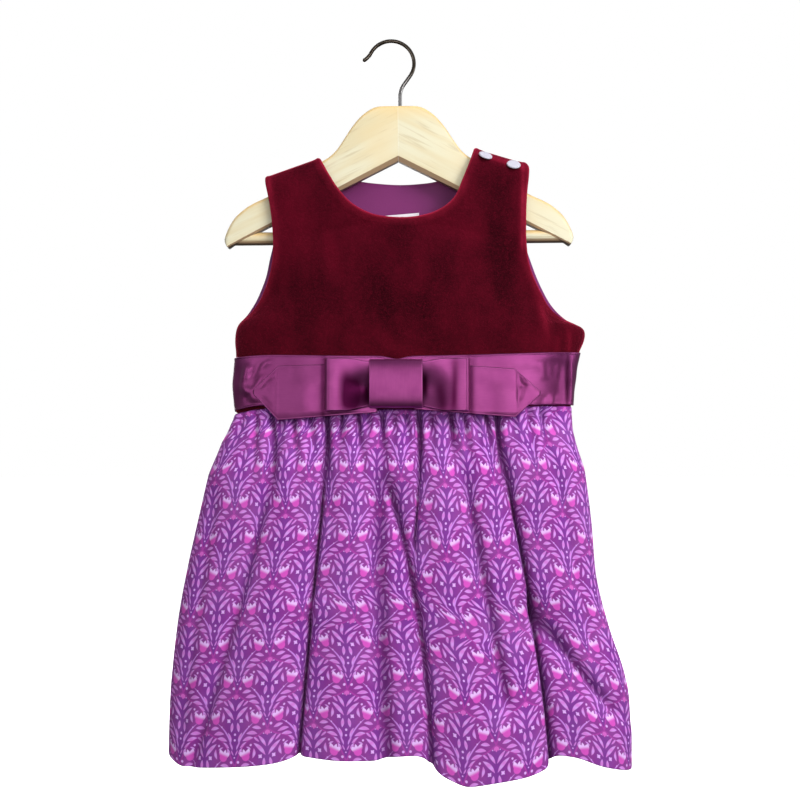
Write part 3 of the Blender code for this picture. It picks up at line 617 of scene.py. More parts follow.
def half_grid(half, other, first=0.0, last=None, steps=8):
    """Half a bodice panel as a grid, from its outer edge to its centre line or its neckline.

    A row's ends come from smooth curves through the table. Across the row, x and y follow a quarter
    of the flattened oval (x: 1 - cos, y: (1 - cos^n)^(1/n)) mixed by `oval` with a flat strap
    (x: share, y: sine), and z goes straight from end to end. `other` is the panel's other half,
    which gives the neckline its slope where it crosses the centre.
    """
    last = len(half["oval"]) - 1.0 if last is None else last
    neck = int(np.flatnonzero(half["x_in"] == 0)[-1])
    levels = np.linspace(first, last, round((last - first) * steps) + 1)
    # more rows near both ends, where edges roll over
    levels = np.union1d(levels, [first + 0.02, first + 0.05, last - 0.09, last - 0.05, last - 0.02])
    below, above = levels[levels <= neck], levels[levels > neck]
    rows = {}
    for name, column in half.items():
        if name.endswith("_in"):
            neckline = curve(column[neck:], above - neck, before=other[name][neck + 1])
            rows[name] = np.concatenate([curve(column[: neck + 1], below), neckline])[:, None]
        else:
            rows[name] = curve(column, levels)[:, None]
    share = column_shares()
    lean = np.cos(share * math.pi / 2)
    oval = np.clip(rows["oval"], 0, 1)
    along_x = oval * (1 - lean) + (1 - oval) * share
    along_y = oval * (1 - np.abs(lean) ** SQUARENESS) ** (1 / SQUARENESS)
    along_y = along_y + (1 - oval) * np.sin(share * math.pi / 2)
    x = rows["x_out"] + (rows["x_in"] - rows["x_out"]) * along_x
    y = rows["y_out"] + (rows["y_in"] - rows["y_out"]) * along_y
    z = rows["z_out"] + (rows["z_in"] - rows["z_out"]) * share
    return np.stack([x - drawn_in(x, z), y, z + waist_rise(x, z)], axis=-1)


def panel_halves(left, right, front, **rows):
    """Both halves of a panel, their columns turned so that the faces look out of the dress."""
    halves = []
    for half, other in ((left, right), (right, left)):
        grid = half_grid(half, other, **rows)
        runs_right = grid[0, -1, 0] > grid[0, 0, 0]
        halves.append(with_lengths(grid if runs_right == front else grid[:, ::-1]))
    return halves


def with_lengths(grid):
    """The grid with two more numbers a point: the length of cloth along its rows and columns."""
    across = np.linalg.norm(np.diff(grid, axis=1), axis=-1).mean(0)
    up = np.linalg.norm(np.diff(grid, axis=0), axis=-1).mean(1)
    u = np.concatenate([[0], np.cumsum(across)])
    v = np.concatenate([[0], np.cumsum(up)])[:, None]
    lengths = [np.broadcast_to(run, grid.shape[:2])[..., None] for run in (u, v)]
    return np.concatenate([grid, *lengths], axis=-1)


def distance_to(points, starts, ends):
    """Each point's distance to the nearest straight edge, a few thousand points at a time."""
    step = ends - starts
    length = (step**2).sum(1)
    nearest = []
    for some in np.array_split(points, len(points) // 2000 + 1):
        away = some[:, None] - starts
        share = np.clip((away * step).sum(-1) / length, 0, 1)
        nearest.append(np.linalg.norm(away - share[..., None] * step, axis=-1).min(1))
    return np.concatenate(nearest)


def cloth(name, grids, wall, materials, out=0.0, side=0, roll=1.8, shaped=None):
    """A closed wall of cloth whose outer face follows the grids of x, y, z, u and v in mm.

    A grid's sixth number, if it has one, is its painted shade: how much darker the colour is made
    there, from -1 to 1, with a painted sheen below 0.

    The grids are sewn where their points meet. A point moves along its normal by `out`, and by what
    `shaped(points, edge)` gives for its place and its distance to the nearest edge. The inner face
    lies `wall` behind. Within `roll` mm of an edge both faces curve together as half an ellipse, so
    each edge is a closed rolled fold. A front (side -1) or back (side 1) keeps to its own side of
    the side seams. The second material, if there is one, is the inner face's.
    """
    flat = np.concatenate([grid.reshape(-1, grid.shape[-1]) for grid in grids])
    faces = []
    begin = 0
    for grid in grids:
        rows, columns = grid.shape[:2]
        corner = begin + np.arange(rows - 1)[:, None] * columns + np.arange(columns - 1)
        quads = np.stack([corner, corner + 1, corner + columns + 1, corner + columns], axis=-1)
        faces.append(quads.reshape(-1, 4))
        begin += rows * columns
    faces = np.concatenate(faces)
    lengths = flat[faces, 3:5] * MM
    places = np.round(flat[:, :3] * 500).astype(np.int64)  # points within 0.002 mm are one
    _, kept, same = np.unique(places, axis=0, return_index=True, return_inverse=True)
    points = flat[kept, :3]
    faces = same.reshape(-1)[faces]

    quad = points[faces]
    face_normal = np.cross(quad[:, 2] - quad[:, 0], quad[:, 3] - quad[:, 1])
    normal = np.zeros_like(points)
    for corner in range(4):
        np.add.at(normal, faces[:, corner], face_normal)
    normal /= np.linalg.norm(normal, axis=1)[:, None]

    sides = np.concatenate([faces[:, [corner, (corner + 1) % 4]] for corner in range(4)])
    sides, uses = np.unique(np.sort(sides, axis=1), axis=0, return_counts=True)
    rim = sides[uses == 1]
    edge = distance_to(points, points[rim[:, 0]], points[rim[:, 1]])
    middle = out - wall / 2 + (0 if shaped is None else shaped(points, edge))
    half_wall = wall / 2 * np.sqrt(1 - np.clip(1 - edge / roll, 0, 1) ** 2)
    outer = points + normal * (middle + half_wall)[:, None]
    inner = points + normal * (middle - half_wall)[:, None]
    count = len(points)
    behind = np.arange(count) + count
    behind[np.unique(rim)] = np.unique(rim)
    every = np.concatenate([outer, inner])
    if side:
        every[:, 1] = side * np.maximum(side * every[:, 1], SEAM_SHUT)
    all_faces = np.concatenate([faces, behind[faces[:, ::-1]]])
    used, again = np.unique(all_faces, return_inverse=True)
    all_faces = again.reshape(all_faces.shape)

    mesh = bpy.data.meshes.new(name)
    mesh.from_pydata((every[used] * MM).tolist(), [], all_faces.tolist())
    for material in materials:
        mesh.materials.append(material)
    if len(materials) > 1:
        mesh.polygons.foreach_set("material_index", np.repeat([0, 1], len(faces)).astype(np.int32))
    cut = mesh.uv_layers.new(name="cut")
    cut.data.foreach_set("uv", np.concatenate([lengths, lengths[:, ::-1]]).astype(np.float32).ravel())
    values = {"edge_mm": edge}
    if flat.shape[1] > 5:
        values["painted_shade"] = flat[kept, 5]
    for label, value in values.items():
        point_values = mesh.attributes.new(label, "FLOAT", "POINT")
        point_values.data.foreach_set("value", np.concatenate([value, value])[used].astype(np.float32))
    mesh.shade_smooth()
    piece = bpy.data.objects.new(name, mesh)
    bpy.context.collection.objects.link(piece)
    return piece


def attribute(tree, name):
    """The number that `cloth` has stored at each point under this name."""
    node = tree.nodes.new("ShaderNodeAttribute")
    node.attribute_name = name
    return Signal(tree, node.outputs["Fac"])


def rows_of(sizes):
    """The rows of a table, as arrays of numbers."""
    return np.stack(list(sizes.values()), axis=-1)


def creased(points, creases):
    """How far the creases push a cloth in: a soft trough along each line that fades at both ends.

    With p the way along a line from 0 to 1 and q the distance from it over its width, a trough is
    depth exp(-((p - 0.5) / 0.45)^4) exp(-q^2).
    """
    total = np.zeros(points.shape[:-1])
    for x_top, z_top, x_low, z_low, depth, width in rows_of(creases):
        line = np.array([x_low - x_top, z_low - z_top])
        away = points[..., [0, 2]] - (x_top, z_top)
        along = away @ line / (line @ line)
        off = (away[..., 0] * line[1] - away[..., 1] * line[0]) / np.linalg.norm(line)
        fade = np.exp(-(((along - 0.5) / 0.45) ** 4))
        total += depth * fade * np.exp(-((off / width) ** 2))
    return total


def with_painted_shade(grids, marks):
    """The grids with a sixth number a point: the painted shade that the marks put on the cloth's colour
    there.
    """
    return [np.concatenate([grid, creased(grid, marks)[..., None]], axis=-1) for grid in grids]


def above_sash(points):
    """0 under the sash and 1 on the velvet above it: 1 / (1 + exp(-(z - CALM_Z) / 2))."""
    return 1 / (1 + np.exp(-(points[:, 2] - CALM_Z) / 2.0))


def turned_edges(points, edge):
    """The rolled fold along each edge, and the step where the facing ends.

    With e the distance from the edge, they are 0.55 exp(-((e - 2.4) / 1.7)^2) and a logistic step
    of 0.45 at FACING.
    """
    lip = 0.55 * np.exp(-(((edge - 2.4) / 1.7) ** 2))
    step = 0.45 / (1 + np.exp((edge - FACING) / 0.7))
    return (lip + step) * above_sash(points)


def front_velvet_shape(points, edge):
    """Rolled edges and creases, and a puff: a bell 1.7 mm high where the velvet swells over the bow."""
    puff = 1.7 * np.exp(-(((points[:, 0] + 3) / 11) ** 2) - ((points[:, 2] + 279) / 5) ** 2)
    return turned_edges(points, edge) - creased(points, CREASES) + puff


def back_velvet_shape(points, edge):
    """Rolled edges and waves 0.5 mm high, a product of two sines; flat under the lapped strap."""
    x, z = points[:, 0], points[:, 2]
    under_lap = np.exp(-np.clip(LAP_X - x, 0, None) / 5) * (z > LAP_Z)
    waves = np.sin(x / 31 + z / 47) * np.sin(z / 23 - x / 61)
    return (turned_edges(points, edge) + 0.5 * above_sash(points) * (waves + 1) / 2) * (1 - under_lap)


velvet, shader = new_material("burgundy_velvet", (0.05, 0.002, 0.008), 0.9, Specular_IOR_Level=0.05,
                              Sheen_Weight=0.78, Sheen_Roughness=0.38, Sheen_Tint=(1.0, 0.065, 0.17, 1.0))
tree = velvet.node_tree
edge = attribute(tree, "edge_mm")
stroked = noise(tree, 34.0, 4.0, (1.0, 1.0, 0.6), 0.62).clamped(0.28, 0.74)
painted_shade = attribute(tree, "painted_shade")
uneven = noise(tree, 60.0, 2.0).clamped(0.3, 0.7) * 0.5 + 0.5
# Painted sheen: crimson along the rolled edges and on the table's pale rims and strokes (a painted shade
# under 0).
rolled = (1.0 - edge.clamped(0.6, 2.4)) * 0.6 + (1.0 - edge.clamped(1.5, 9.0)) * uneven * 0.36
rim_sheen_and_pale_nap = (-painted_shade).clamped(0.5, 1.7) * uneven * 0.85
painted_sheen_and_nap = rolled.math("MAXIMUM", rim_sheen_and_pale_nap) * (1.0 - painted_shade.clamped(0.7, 1.0))
# Painted shade: darker where the table marks it, as in the shadow under the ribbon, and with the nap.
paler = stroked * 0.62 + 0.17 - painted_shade * 0.62
pile = noise(tree, 1500.0, 2.0)
tufts = noise(tree, 420.0, 3.0).clamped(0.35, 0.75)
deep = blend_colours(tree, paler, (0.015, 0.0004, 0.0020), (0.073, 0.0015, 0.0078))
flecks = pile.clamped(0.45, 0.80) * 0.4 + tufts * 0.12
flecked = blend_colours(tree, flecks, deep, (0.155, 0.004, 0.018))
crimson = blend_colours(tree, painted_sheen_and_nap * 0.8, flecked, (0.30, 0.011, 0.036))
tree.links.new(crimson, shader.inputs["Base Color"])
relief(tree, shader, pile + tufts * 0.5, 0.0004)

lining, shader = new_material("plum_lining", (0.17, 0.018, 0.115), 0.60, Specular_IOR_Level=0.3,
                              Sheen_Weight=0.05)
tree = lining.node_tree
weave = noise(tree, 2600.0, 1.0, (1.0, 1.0, 0.35))
cloudy = noise(tree, 30.0, 2.0)
plum = blend_colours(tree, cloudy, (0.140, 0.0145, 0.103), (0.180, 0.020, 0.122))
woven = blend_colours(tree, weave * 0.25, plum, (0.24, 0.038, 0.19))
tree.links.new(woven, shader.inputs["Base Color"])
relief(tree, shader, weave, 0.0001)

front_halves = with_painted_shade(panel_halves(FRONT_LEFT, FRONT_RIGHT, True), FRONT_NAP_AND_PAINTED_LIGHT)
back_halves = with_painted_shade(panel_halves(BACK_LEFT, BACK_RIGHT, False), BACK_NAP_AND_PAINTED_LIGHT)
front_velvet = cloth("front_velvet", front_halves, VELVET_WALL, (velvet, lining), side=-1,
                     roll=VELVET_ROLL, shaped=front_velvet_shape)
back_velvet = cloth("back_velvet", back_halves, VELVET_WALL, (velvet, lining), side=1,
                    roll=VELVET_ROLL, shaped=back_velvet_shape)
for panel, node in ((front_velvet, "bodice_front"), (back_velvet, "bodice_back")):
    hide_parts(node)
    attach(panel, "root")


# ==== lining ====
# Plain woven cotton in plum, cut like the back and joined to it round the neck and the armholes. A
# bare woven tape label is caught in the neck seam and folded so that its loop hangs down.

LINING_WALL = 1.0
LINING_INSET = 1.2  # how far inside the velvet it hangs
LINING_CLEAR = 0.25  # how near it comes to the velvet at its edges
LINING_TOP = 12.0  # row of the back's tables where it ends, on the shoulders
LINING_ROLL = 0.9
LABEL_WALL = 0.6
LABEL_ROLL = 0.3
LABEL_SIZE = (30.0, 22.0)
LABEL_RIGHT = 17.0
LABEL_TOP = -148.0
LABEL_ASKEW = (0.6, 2.6)  # how much lower its top is sewn in on the right, and on the left beyond it
VELVET_BACK = 17.0  # y of the back velvet's outer face behind the label


def lining_shape(points, edge):
    """The lining comes out to the velvet at its edges: by exp(-(e / 3)^2), e the distance from one."""
    return (LINING_INSET - LINING_CLEAR) * np.exp(-((edge / 3.0) ** 2))


behind_velvet = -(VELVET_WALL + LINING_INSET)
lining_halves = panel_halves(BACK_LEFT, BACK_RIGHT, False, last=LINING_TOP)
back_lining = cloth("back_lining_cloth", lining_halves, LINING_WALL, (lining,), out=behind_velvet,
                    side=1, roll=LINING_ROLL, shaped=lining_shape)
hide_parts("back_lining")
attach(back_lining, "root")

# The label bows with the neck, by 0.0009 x^2, and curls out by about 0.5 mm at its lower fold.
label_width, label_height = LABEL_SIZE
x, z = np.meshgrid(np.linspace(LABEL_RIGHT, LABEL_RIGHT - label_width, 31),
                   np.linspace(LABEL_TOP - label_height, LABEL_TOP, 23))
lower = LABEL_ASKEW[0] + LABEL_ASKEW[1] * (LABEL_RIGHT - x) / label_width
z -= lower * (z - LABEL_TOP + label_height) / label_height
lining_face = VELVET_BACK - VELVET_WALL - LINING_WALL - LINING_INSET
curl = 0.5 * ((z - LABEL_TOP) / label_height) ** 2
y = lining_face - SEAM_GAP - 0.0009 * x**2 - curl * (1 + 0.4 * np.sin(x / 6))
tape, shader = new_material("label_tape", (0.75, 0.70, 0.76), 0.6, Sheen_Weight=0.15)
tree = tape.node_tree
threads = noise(tree, 2400.0, 1.0, (0.3, 1.0, 1.0))
woven = blend_colours(tree, threads, (0.62, 0.56, 0.63), (0.78, 0.74, 0.79))
tree.links.new(woven, shader.inputs["Base Color"])
relief(tree, shader, threads, 0.00008)
label_grid = with_lengths(np.stack([x, y, z], axis=-1))
label = cloth("bare_label", [label_grid], LABEL_WALL, (tape,), roll=LABEL_ROLL)
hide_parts("neck_label")
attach(label, "root")


# ==== press studs ====
# Two moulded plastic caps on the lapped strap, each riveted through the velvet. The socket halves
# are hidden between the layers.

STUD_DIAMETER = 12.4
STUD_HEIGHT = 1.8
STUDS = table(
    "level share lean tilt",  # row of FRONT_RIGHT, way across it, turn outwards and up from the velvet
    (13.90, 0.775, 0.26, 0.62),
    (13.72, 0.275, 0.03, 0.56),
)
STUD_SINK = 0.5  # into the pile
STUD_SECTION = table(
    "radius height",  # of the cap's diameter and of its height
    (0.42, 0.00), (0.48, 0.03), (0.50, 0.18), (0.50, 0.42), (0.49, 0.62), (0.46, 0.80),
    (0.42, 0.91), (0.37, 0.96), (0.31, 0.97), (0.29, 0.93), (0.27, 0.93), (0.25, 0.97),
    (0.18, 0.99), (0.09, 1.00), (0.01, 1.00),
)


def stud_rings(level, share, lean, tilt):
    """The cap's section turned about an axis, where it sits on the strap.

    The axis is the velvet's normal plus `lean` outwards and `tilt` upwards.
    """
    patch = half_grid(FRONT_RIGHT, FRONT_LEFT, level - 0.1, level + 0.1)
    column = int(np.abs(column_shares() - share).argmin())
    middle = len(patch) // 2
    up = patch[-1, column] - patch[0, column]
    outward = patch[middle, column - 1] - patch[middle, column + 1]
    normal = np.cross(outward, up)
    normal = normal / np.linalg.norm(normal) + (lean, 0, tilt)
    normal /= np.linalg.norm(normal)
    first = outward - (outward @ normal) * normal
    first /= np.linalg.norm(first)
    second = np.cross(normal, first)
    angle = around(48)[:, None]
    circle = np.cos(angle) * first + np.sin(angle) * second
    radius = STUD_SECTION["radius"][:, None, None] * STUD_DIAMETER
    height = STUD_SECTION["height"][:, None, None] * STUD_HEIGHT - STUD_SINK
    return patch[middle, column] + radius * circle + height * normal


plastic, shader = new_material("cap_plastic", (0.48, 0.48, 0.58), 0.34, Coat_Weight=0.15)
tree = plastic.node_tree
mould = noise(tree, 180.0, 2.0)
pearly = blend_colours(tree, mould, (0.44, 0.39, 0.48), (0.50, 0.52, 0.60))
tree.links.new(pearly, shader.inputs["Base Color"])
tree.links.new((mould * 0.12 + 0.24).socket, shader.inputs["Roughness"])
stud_names = (("inner_stud", "snap_cap_inner"), ("outer_stud", "snap_cap_outer"))
for (name, node), sizes in zip(stud_names, rows_of(STUDS)):
    stud = rings_to_mesh(name, stud_rings(*sizes), plastic)
    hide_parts(node)
    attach(stud, "root")


# ==== skirt ====
# Front and back are straight lengths of printed cotton lawn, gathered on two threads into the waist
# seam and seamed at the sides. The hem is turned up and blind-stitched, so no stitch shows.

SKIRT_TOP_Z = WAIST_Z - 0.4
COTTON_WALL = 1.3
COTTON_ROLL = 0.8
SKIRT_CUT = (500.0, 300.0)  # mm of cloth across and down one panel
SKIRT_COLUMNS = 331
SKIRT = table(
    "down x_left x_right front back",
    (0.0, -144.0, 149.9, 28.0, 18.0),
    (9.0, -147.4, 150.0, 29.0, 19.0),
    (26.0, -155.2, 152.0, 36.0, 26.0),
    (55.0, -166.3, 160.6, 42.0, 31.0),
    (97.0, -175.6, 166.0, 45.0, 35.0),
    (143.0, -184.8, 169.8, 47.0, 38.0),
    (182.0, -191.3, 179.6, 49.0, 40.0),
    (227.0, -195.9, 193.9, 51.0, 42.0),
    (258.0, -197.8, 198.0, 52.0, 43.0),
    (300.0, -198.3, 198.2, 53.0, 44.0),
)
# Folds are troughs between broad lobes, each on a curve through its places near the waist, at
# mid length and near the hem. The front's fourth and fifth rows are one fold in two stretches.
FOLD_COLUMNS = "x_top x_middle x_hem start end depth width lean"
FOLD_LEVELS = (20.0, 150.0, 270.0)  # mm below the waist where x_top, x_middle and x_hem hold
FRONT_FOLDS = table(
    FOLD_COLUMNS,
    (-133.0, -139.0, -143.0, -30.0, 70.0, 6.0, 7.0, 0.0),
    (-150.0, -170.0, -186.0, 55.0, 290.0, 6.0, 10.0, 0.0),
    (-103.0, -133.0, -168.0, -30.0, 320.0, 12.0, 11.0, 2.5),
    (-63.0, -75.0, -85.0, -30.0, 188.0, 19.0, 9.0, 5.5),
    (-63.0, -75.0, -85.0, 164.0, 400.0, 20.0, 9.0, 5.5),
    (-17.0, -17.0, -13.0, 5.0, 330.0, 12.0, 13.0, 0.0),
    (-24.0, 11.5, 26.0, 50.0, 400.0, 14.0, 9.0, -2.0),
    (18.6, 13.0, 5.0, -30.0, 140.0, 12.0, 6.0, -3.0),
    (48.0, 72.0, 94.0, -30.0, 260.0, 12.0, 10.0, 1.5),
    (85.0, 113.0, 128.5, -30.0, 400.0, 23.0, 10.5, -7.0),
    (140.0, 107.6, 204.0, 152.0, 274.0, 15.5, 11.6, 0.0),
    (126.0, 154.0, 176.0, 35.0, 220.0, 7.0, 9.0, 0.0),
)
BACK_FOLDS = table(
    FOLD_COLUMNS,
    (-124.0, -150.0, -172.0, -30.0, 400.0, 11.0, 11.0, 2.0),
    (-88.0, -104.0, -122.0, -30.0, 270.0, 10.0, 10.0, 0.0),
    (-52.0, -60.0, -66.0, -30.0, 400.0, 20.0, 10.0, 4.0),
    (-12.0, -20.0, -16.0, 10.0, 400.0, 13.0, 12.0, 0.0),
    (20.0, 26.0, 38.0, -30.0, 190.0, 11.0, 8.0, 0.0),
    (60.0, 68.0, 80.0, -30.0, 400.0, 19.0, 10.0, -4.0),
    (96.0, 114.0, 124.0, -30.0, 250.0, 10.0, 9.0, 0.0),
    (126.0, 148.0, 166.0, 20.0, 400.0, 13.0, 11.0, 0.0),
)
FRONT_HEM = table(
    "x z",
    (-198.0, -618.5), (-184.0, -626.2), (-127.0, -621.0), (-100.0, -618.0), (-84.0, -612.5),
    (-48.0, -615.0), (-16.0, -615.5), (0.0, -612.0), (18.0, -611.5), (34.0, -628.0), (54.0, -636.5),
    (81.0, -632.5), (107.0, -629.0), (121.0, -624.5), (129.0, -613.2), (147.0, -615.5),
    (169.0, -624.2), (194.0, -630.8),
)
BACK_HEM = table(
    "x z",
    (-198.0, -619.5), (-172.0, -625.0), (-130.0, -622.0), (-66.0, -615.0), (-40.0, -621.0),
    (-16.0, -616.0), (30.0, -623.0), (80.0, -616.0), (120.0, -624.0), (166.0, -620.0),
    (194.0, -629.8),
)
FOLD_CORE = 0.62  # share of a fold's depth in its narrow middle; the rest is in its broad sides
FOLD_MIDDLE = 0.5  # width of the middle, and of the sides, as shares of the fold's own width
FOLD_SIDES = 2.3
FOLD_FADE = 30.0  # over which a fold starts and ends
FOLD_AT_WAIST = 0.15  # share of its depth that a fold has at the waist seam
FOLD_FULL = 110.0  # mm over which it deepens by its whole depth
FOLD_SHADE = 11.0  # depth of a fold, and of a gather, at which its painted shade is deepest
GATHER_SHADE = 6.8
RIPPLE = 0.5  # height of the cloth's slow waves
HEM_ROUND = 8  # columns on each side over which the hem's corners are rounded off
EDGE_CALM = 0.6  # exponent that flattens folds and gathers towards the side seams

GATHER_COLUMNS = "x drift reach depth width"  # drift: how far in x its lower end lies
FRONT_GATHERS = table(
    GATHER_COLUMNS,
    (-136.0, -6.0, 27.3, 5.3, 2.5), (-124.0, -2.0, 48.3, 8.2, 2.2), (-110.5, 2.0, 63.0, 9.2, 2.3),
    (-101.0, -3.0, 25.2, 5.9, 2.2), (-92.0, 3.0, 46.2, 7.9, 2.3), (-77.0, 2.0, 39.9, 6.9, 2.2),
    (-64.0, 3.0, 65.1, 9.2, 2.7), (-49.0, -3.0, 37.8, 7.6, 2.2), (-36.0, 4.0, 48.3, 7.9, 2.2),
    (-26.5, -2.0, 27.3, 5.6, 2.0), (-15.5, 2.0, 42.0, 7.6, 2.3), (-4.5, -2.0, 27.3, 5.6, 2.0),
    (5.5, 2.0, 35.7, 6.3, 2.2), (16.0, 3.0, 60.9, 9.2, 2.7), (28.0, -2.0, 35.7, 6.3, 2.2),
    (43.5, 2.0, 50.4, 8.2, 2.3), (55.0, 5.0, 46.2, 7.3, 2.2), (64.0, 3.0, 27.3, 5.6, 2.1),
    (73.5, 8.0, 52.5, 8.2, 2.3), (85.5, 3.0, 65.1, 9.2, 2.7), (99.0, -3.0, 29.4, 5.9, 2.2),
    (111.0, 2.0, 37.8, 6.9, 2.3), (121.5, 6.0, 48.3, 7.9, 2.3), (134.0, -4.0, 29.4, 5.9, 2.2),
)
BACK_GATHERS = table(
    GATHER_COLUMNS,
    (-133.0, -3.0, 31.5, 5.9, 2.3), (-121.0, -6.0, 54.6, 8.6, 2.3), (-109.0, 2.0, 35.7, 6.6, 2.2),
    (-96.0, -2.0, 27.3, 5.6, 2.2), (-86.0, -4.0, 60.9, 8.9, 2.5), (-73.0, 3.0, 37.8, 6.9, 2.2),
    (-61.5, -2.0, 29.4, 5.9, 2.1), (-51.0, -3.0, 63.0, 9.2, 2.6), (-38.0, 2.0, 35.7, 6.9, 2.2),
    (-27.0, 3.0, 29.4, 5.9, 2.1), (-14.0, -4.0, 56.7, 8.6, 2.4), (-2.0, 2.0, 31.5, 6.3, 2.2),
    (9.0, -2.0, 39.9, 6.9, 2.2), (21.0, 3.0, 60.9, 8.9, 2.5), (34.0, 2.0, 31.5, 6.3, 2.2),
    (46.0, -3.0, 37.8, 6.9, 2.2), (59.0, 4.0, 63.0, 9.2, 2.6), (72.0, 2.0, 31.5, 6.3, 2.2),
    (84.0, 3.0, 42.0, 7.3, 2.2), (97.0, 5.0, 56.7, 8.6, 2.5), (109.5, -2.0, 29.4, 5.9, 2.2),
    (122.0, 6.0, 50.4, 7.9, 2.3), (134.0, 3.0, 29.4, 5.9, 2.2),
)


def read_level(name, down):
    """A column of SKIRT on its smooth curve, at each distance below the waist."""
    return curve(SKIRT[name], np.interp(down, SKIRT["down"], np.arange(len(SKIRT["down"]))))


def folds_at(x, down, folds):
    """How far the folds' broad sides and narrow middles push each point in, and the lips' slide.

    A fold is a trough 0.62 exp(-(2q)^2) + 0.38 exp(-(q/2.3)^2), where q is the distance from its
    line over its width and the line is a parabola through its three places. `lean` moves the lip on
    one side over the trough.
    """
    broad, narrow, slide = np.zeros_like(x), np.zeros_like(x), np.zeros_like(x)
    for x_top, x_middle, x_hem, start, end, deep, width, lean in rows_of(folds):
        line = np.polyval(np.polyfit(FOLD_LEVELS, (x_top, x_middle, x_hem), 2), down)
        off = (x - line) / width
        present = np.clip((down - start) / FOLD_FADE, 0, 1) * np.clip((end - down) / FOLD_FADE, 0, 1)
        present = present * present * (3 - 2 * present)
        narrow += deep * present * FOLD_CORE * np.exp(-((off / FOLD_MIDDLE) ** 2))
        broad += deep * present * (1 - FOLD_CORE) * np.exp(-((off / FOLD_SIDES) ** 2))
        slide += lean * present * np.exp(-(((off + 0.5 * np.sign(lean)) / 0.6) ** 2))
    return broad, narrow, slide


def gathers_at(x, down, gathers):
    """The small pleats under the waist seam, narrow troughs that are deepest 7 mm down.

    With s the way down over a pleat's reach, it fades as exp(-s^2), and its trough exp(-q^2) gets
    1 + 0.9 s times as wide, where q is the distance from its line over its width.
    """
    depth = np.zeros_like(x)
    for x_waist, drift, reach, deep, width in rows_of(gathers):
        fade = (0.45 + 0.55 * np.minimum(down / 7, 1)) * np.exp(-((down / reach) ** 2))
        spread = width * (1 + 0.9 * down / reach)
        depth += deep * fade * np.exp(-(((x - x_waist - drift * down / reach) / spread) ** 2))
    return depth


def skirt_grid(front, folds, gathers, hem):
    """A skirt panel as a grid for `cloth`, from the hem up, its columns evenly spaced in the cloth.

    Each level is half of the flattened oval, pushed in along its normal by folds and gathers. v is
    the way down the cloth and u the way across it as it was cut, so the print isn't stretched.
    """
    gathered, free = np.linspace(0, 64, 44)[:-1], np.linspace(64, 298.4, 78)
    down = np.concatenate([gathered, free, [299.2, 299.7, 300.0]])[:, None]
    side = -1 if front else 1
    angle = np.linspace(0, math.pi, 1601)
    lean = np.cos(angle)
    x_left, x_right = read_level("x_left", down), read_level("x_right", down)
    deep = read_level("front" if front else "back", down)
    x = (x_left + x_right) / 2 - (x_right - x_left) / 2 * lean
    y = side * (SEAM_SHUT + deep * (1 - np.abs(lean) ** SQUARENESS) ** (1 / SQUARENESS))
    slope_x, slope_y = np.gradient(x, axis=1), np.gradient(y, axis=1)
    length = np.hypot(slope_x, slope_y)
    along_x, along_y = slope_x / length, slope_y / length
    broad, narrow, slide = folds_at(x, down, folds)
    pleats = gathers_at(x, down, gathers)
    deepening = np.minimum(1.0, FOLD_AT_WAIST + down / FOLD_FULL)
    waves = np.sin(x / 15 + down / 37) * np.sin(down / 43 - x / 29)
    ripples = RIPPLE * waves * np.minimum(1, down / 40)
    calm = np.sin(angle) ** EDGE_CALM
    inset = ((broad + narrow) * deepening + pleats + ripples) * calm
    # Painted shade in the narrow middles of the folds and down the gathers.
    in_fold = narrow * deepening * calm / FOLD_SHADE
    painted_shade = np.clip(in_fold + (pleats * calm / GATHER_SHADE) ** 2.2, 0, 1)
    slide = slide * deepening * calm
    x = x + side * inset * along_y + slide * along_x
    y = y - side * inset * along_x + slide * along_y
    run = np.cumsum(np.hypot(np.diff(x, axis=1), np.diff(y, axis=1)), axis=1)
    run = np.concatenate([np.zeros_like(down), run], axis=1)
    share = np.linspace(0, 1, SKIRT_COLUMNS)
    share[1:4] = (0.0006, 0.0016, 0.0032)
    share[-4:-1] = 1 - share[3:0:-1]
    x, y, painted_shade = (
        np.array([np.interp(share * lengths[-1], lengths, row) for lengths, row in zip(run, values)])
        for values in (x, y, painted_shade)
    )
    hem_z = np.interp(x[-1], hem["x"], hem["z"])
    window = np.hanning(2 * HEM_ROUND + 1)
    hem_z = np.convolve(np.pad(hem_z, HEM_ROUND, mode="edge"), window / window.sum(), mode="valid")
    top_z = SKIRT_TOP_Z + waist_rise(x[0], WAIST_Z)
    z = top_z + down / SKIRT_CUT[1] * (hem_z - top_z)
    u = np.broadcast_to(share * SKIRT_CUT[0], x.shape)
    v = np.broadcast_to(-down, x.shape)
    return np.stack([x, y, z, u, v, painted_shade], axis=-1)[::-1]


PRINT_WIDTH = 56.5  # mm from one flower bed to the next
PRINT_ROW = 30.0  # mm from a row to the next, which is set half a width along
PRINT_BLUR = 0.28  # mm over which a motif's colour sets in, on each side of its outline
THREAD_PITCH = 0.42  # mm from a thread to the next


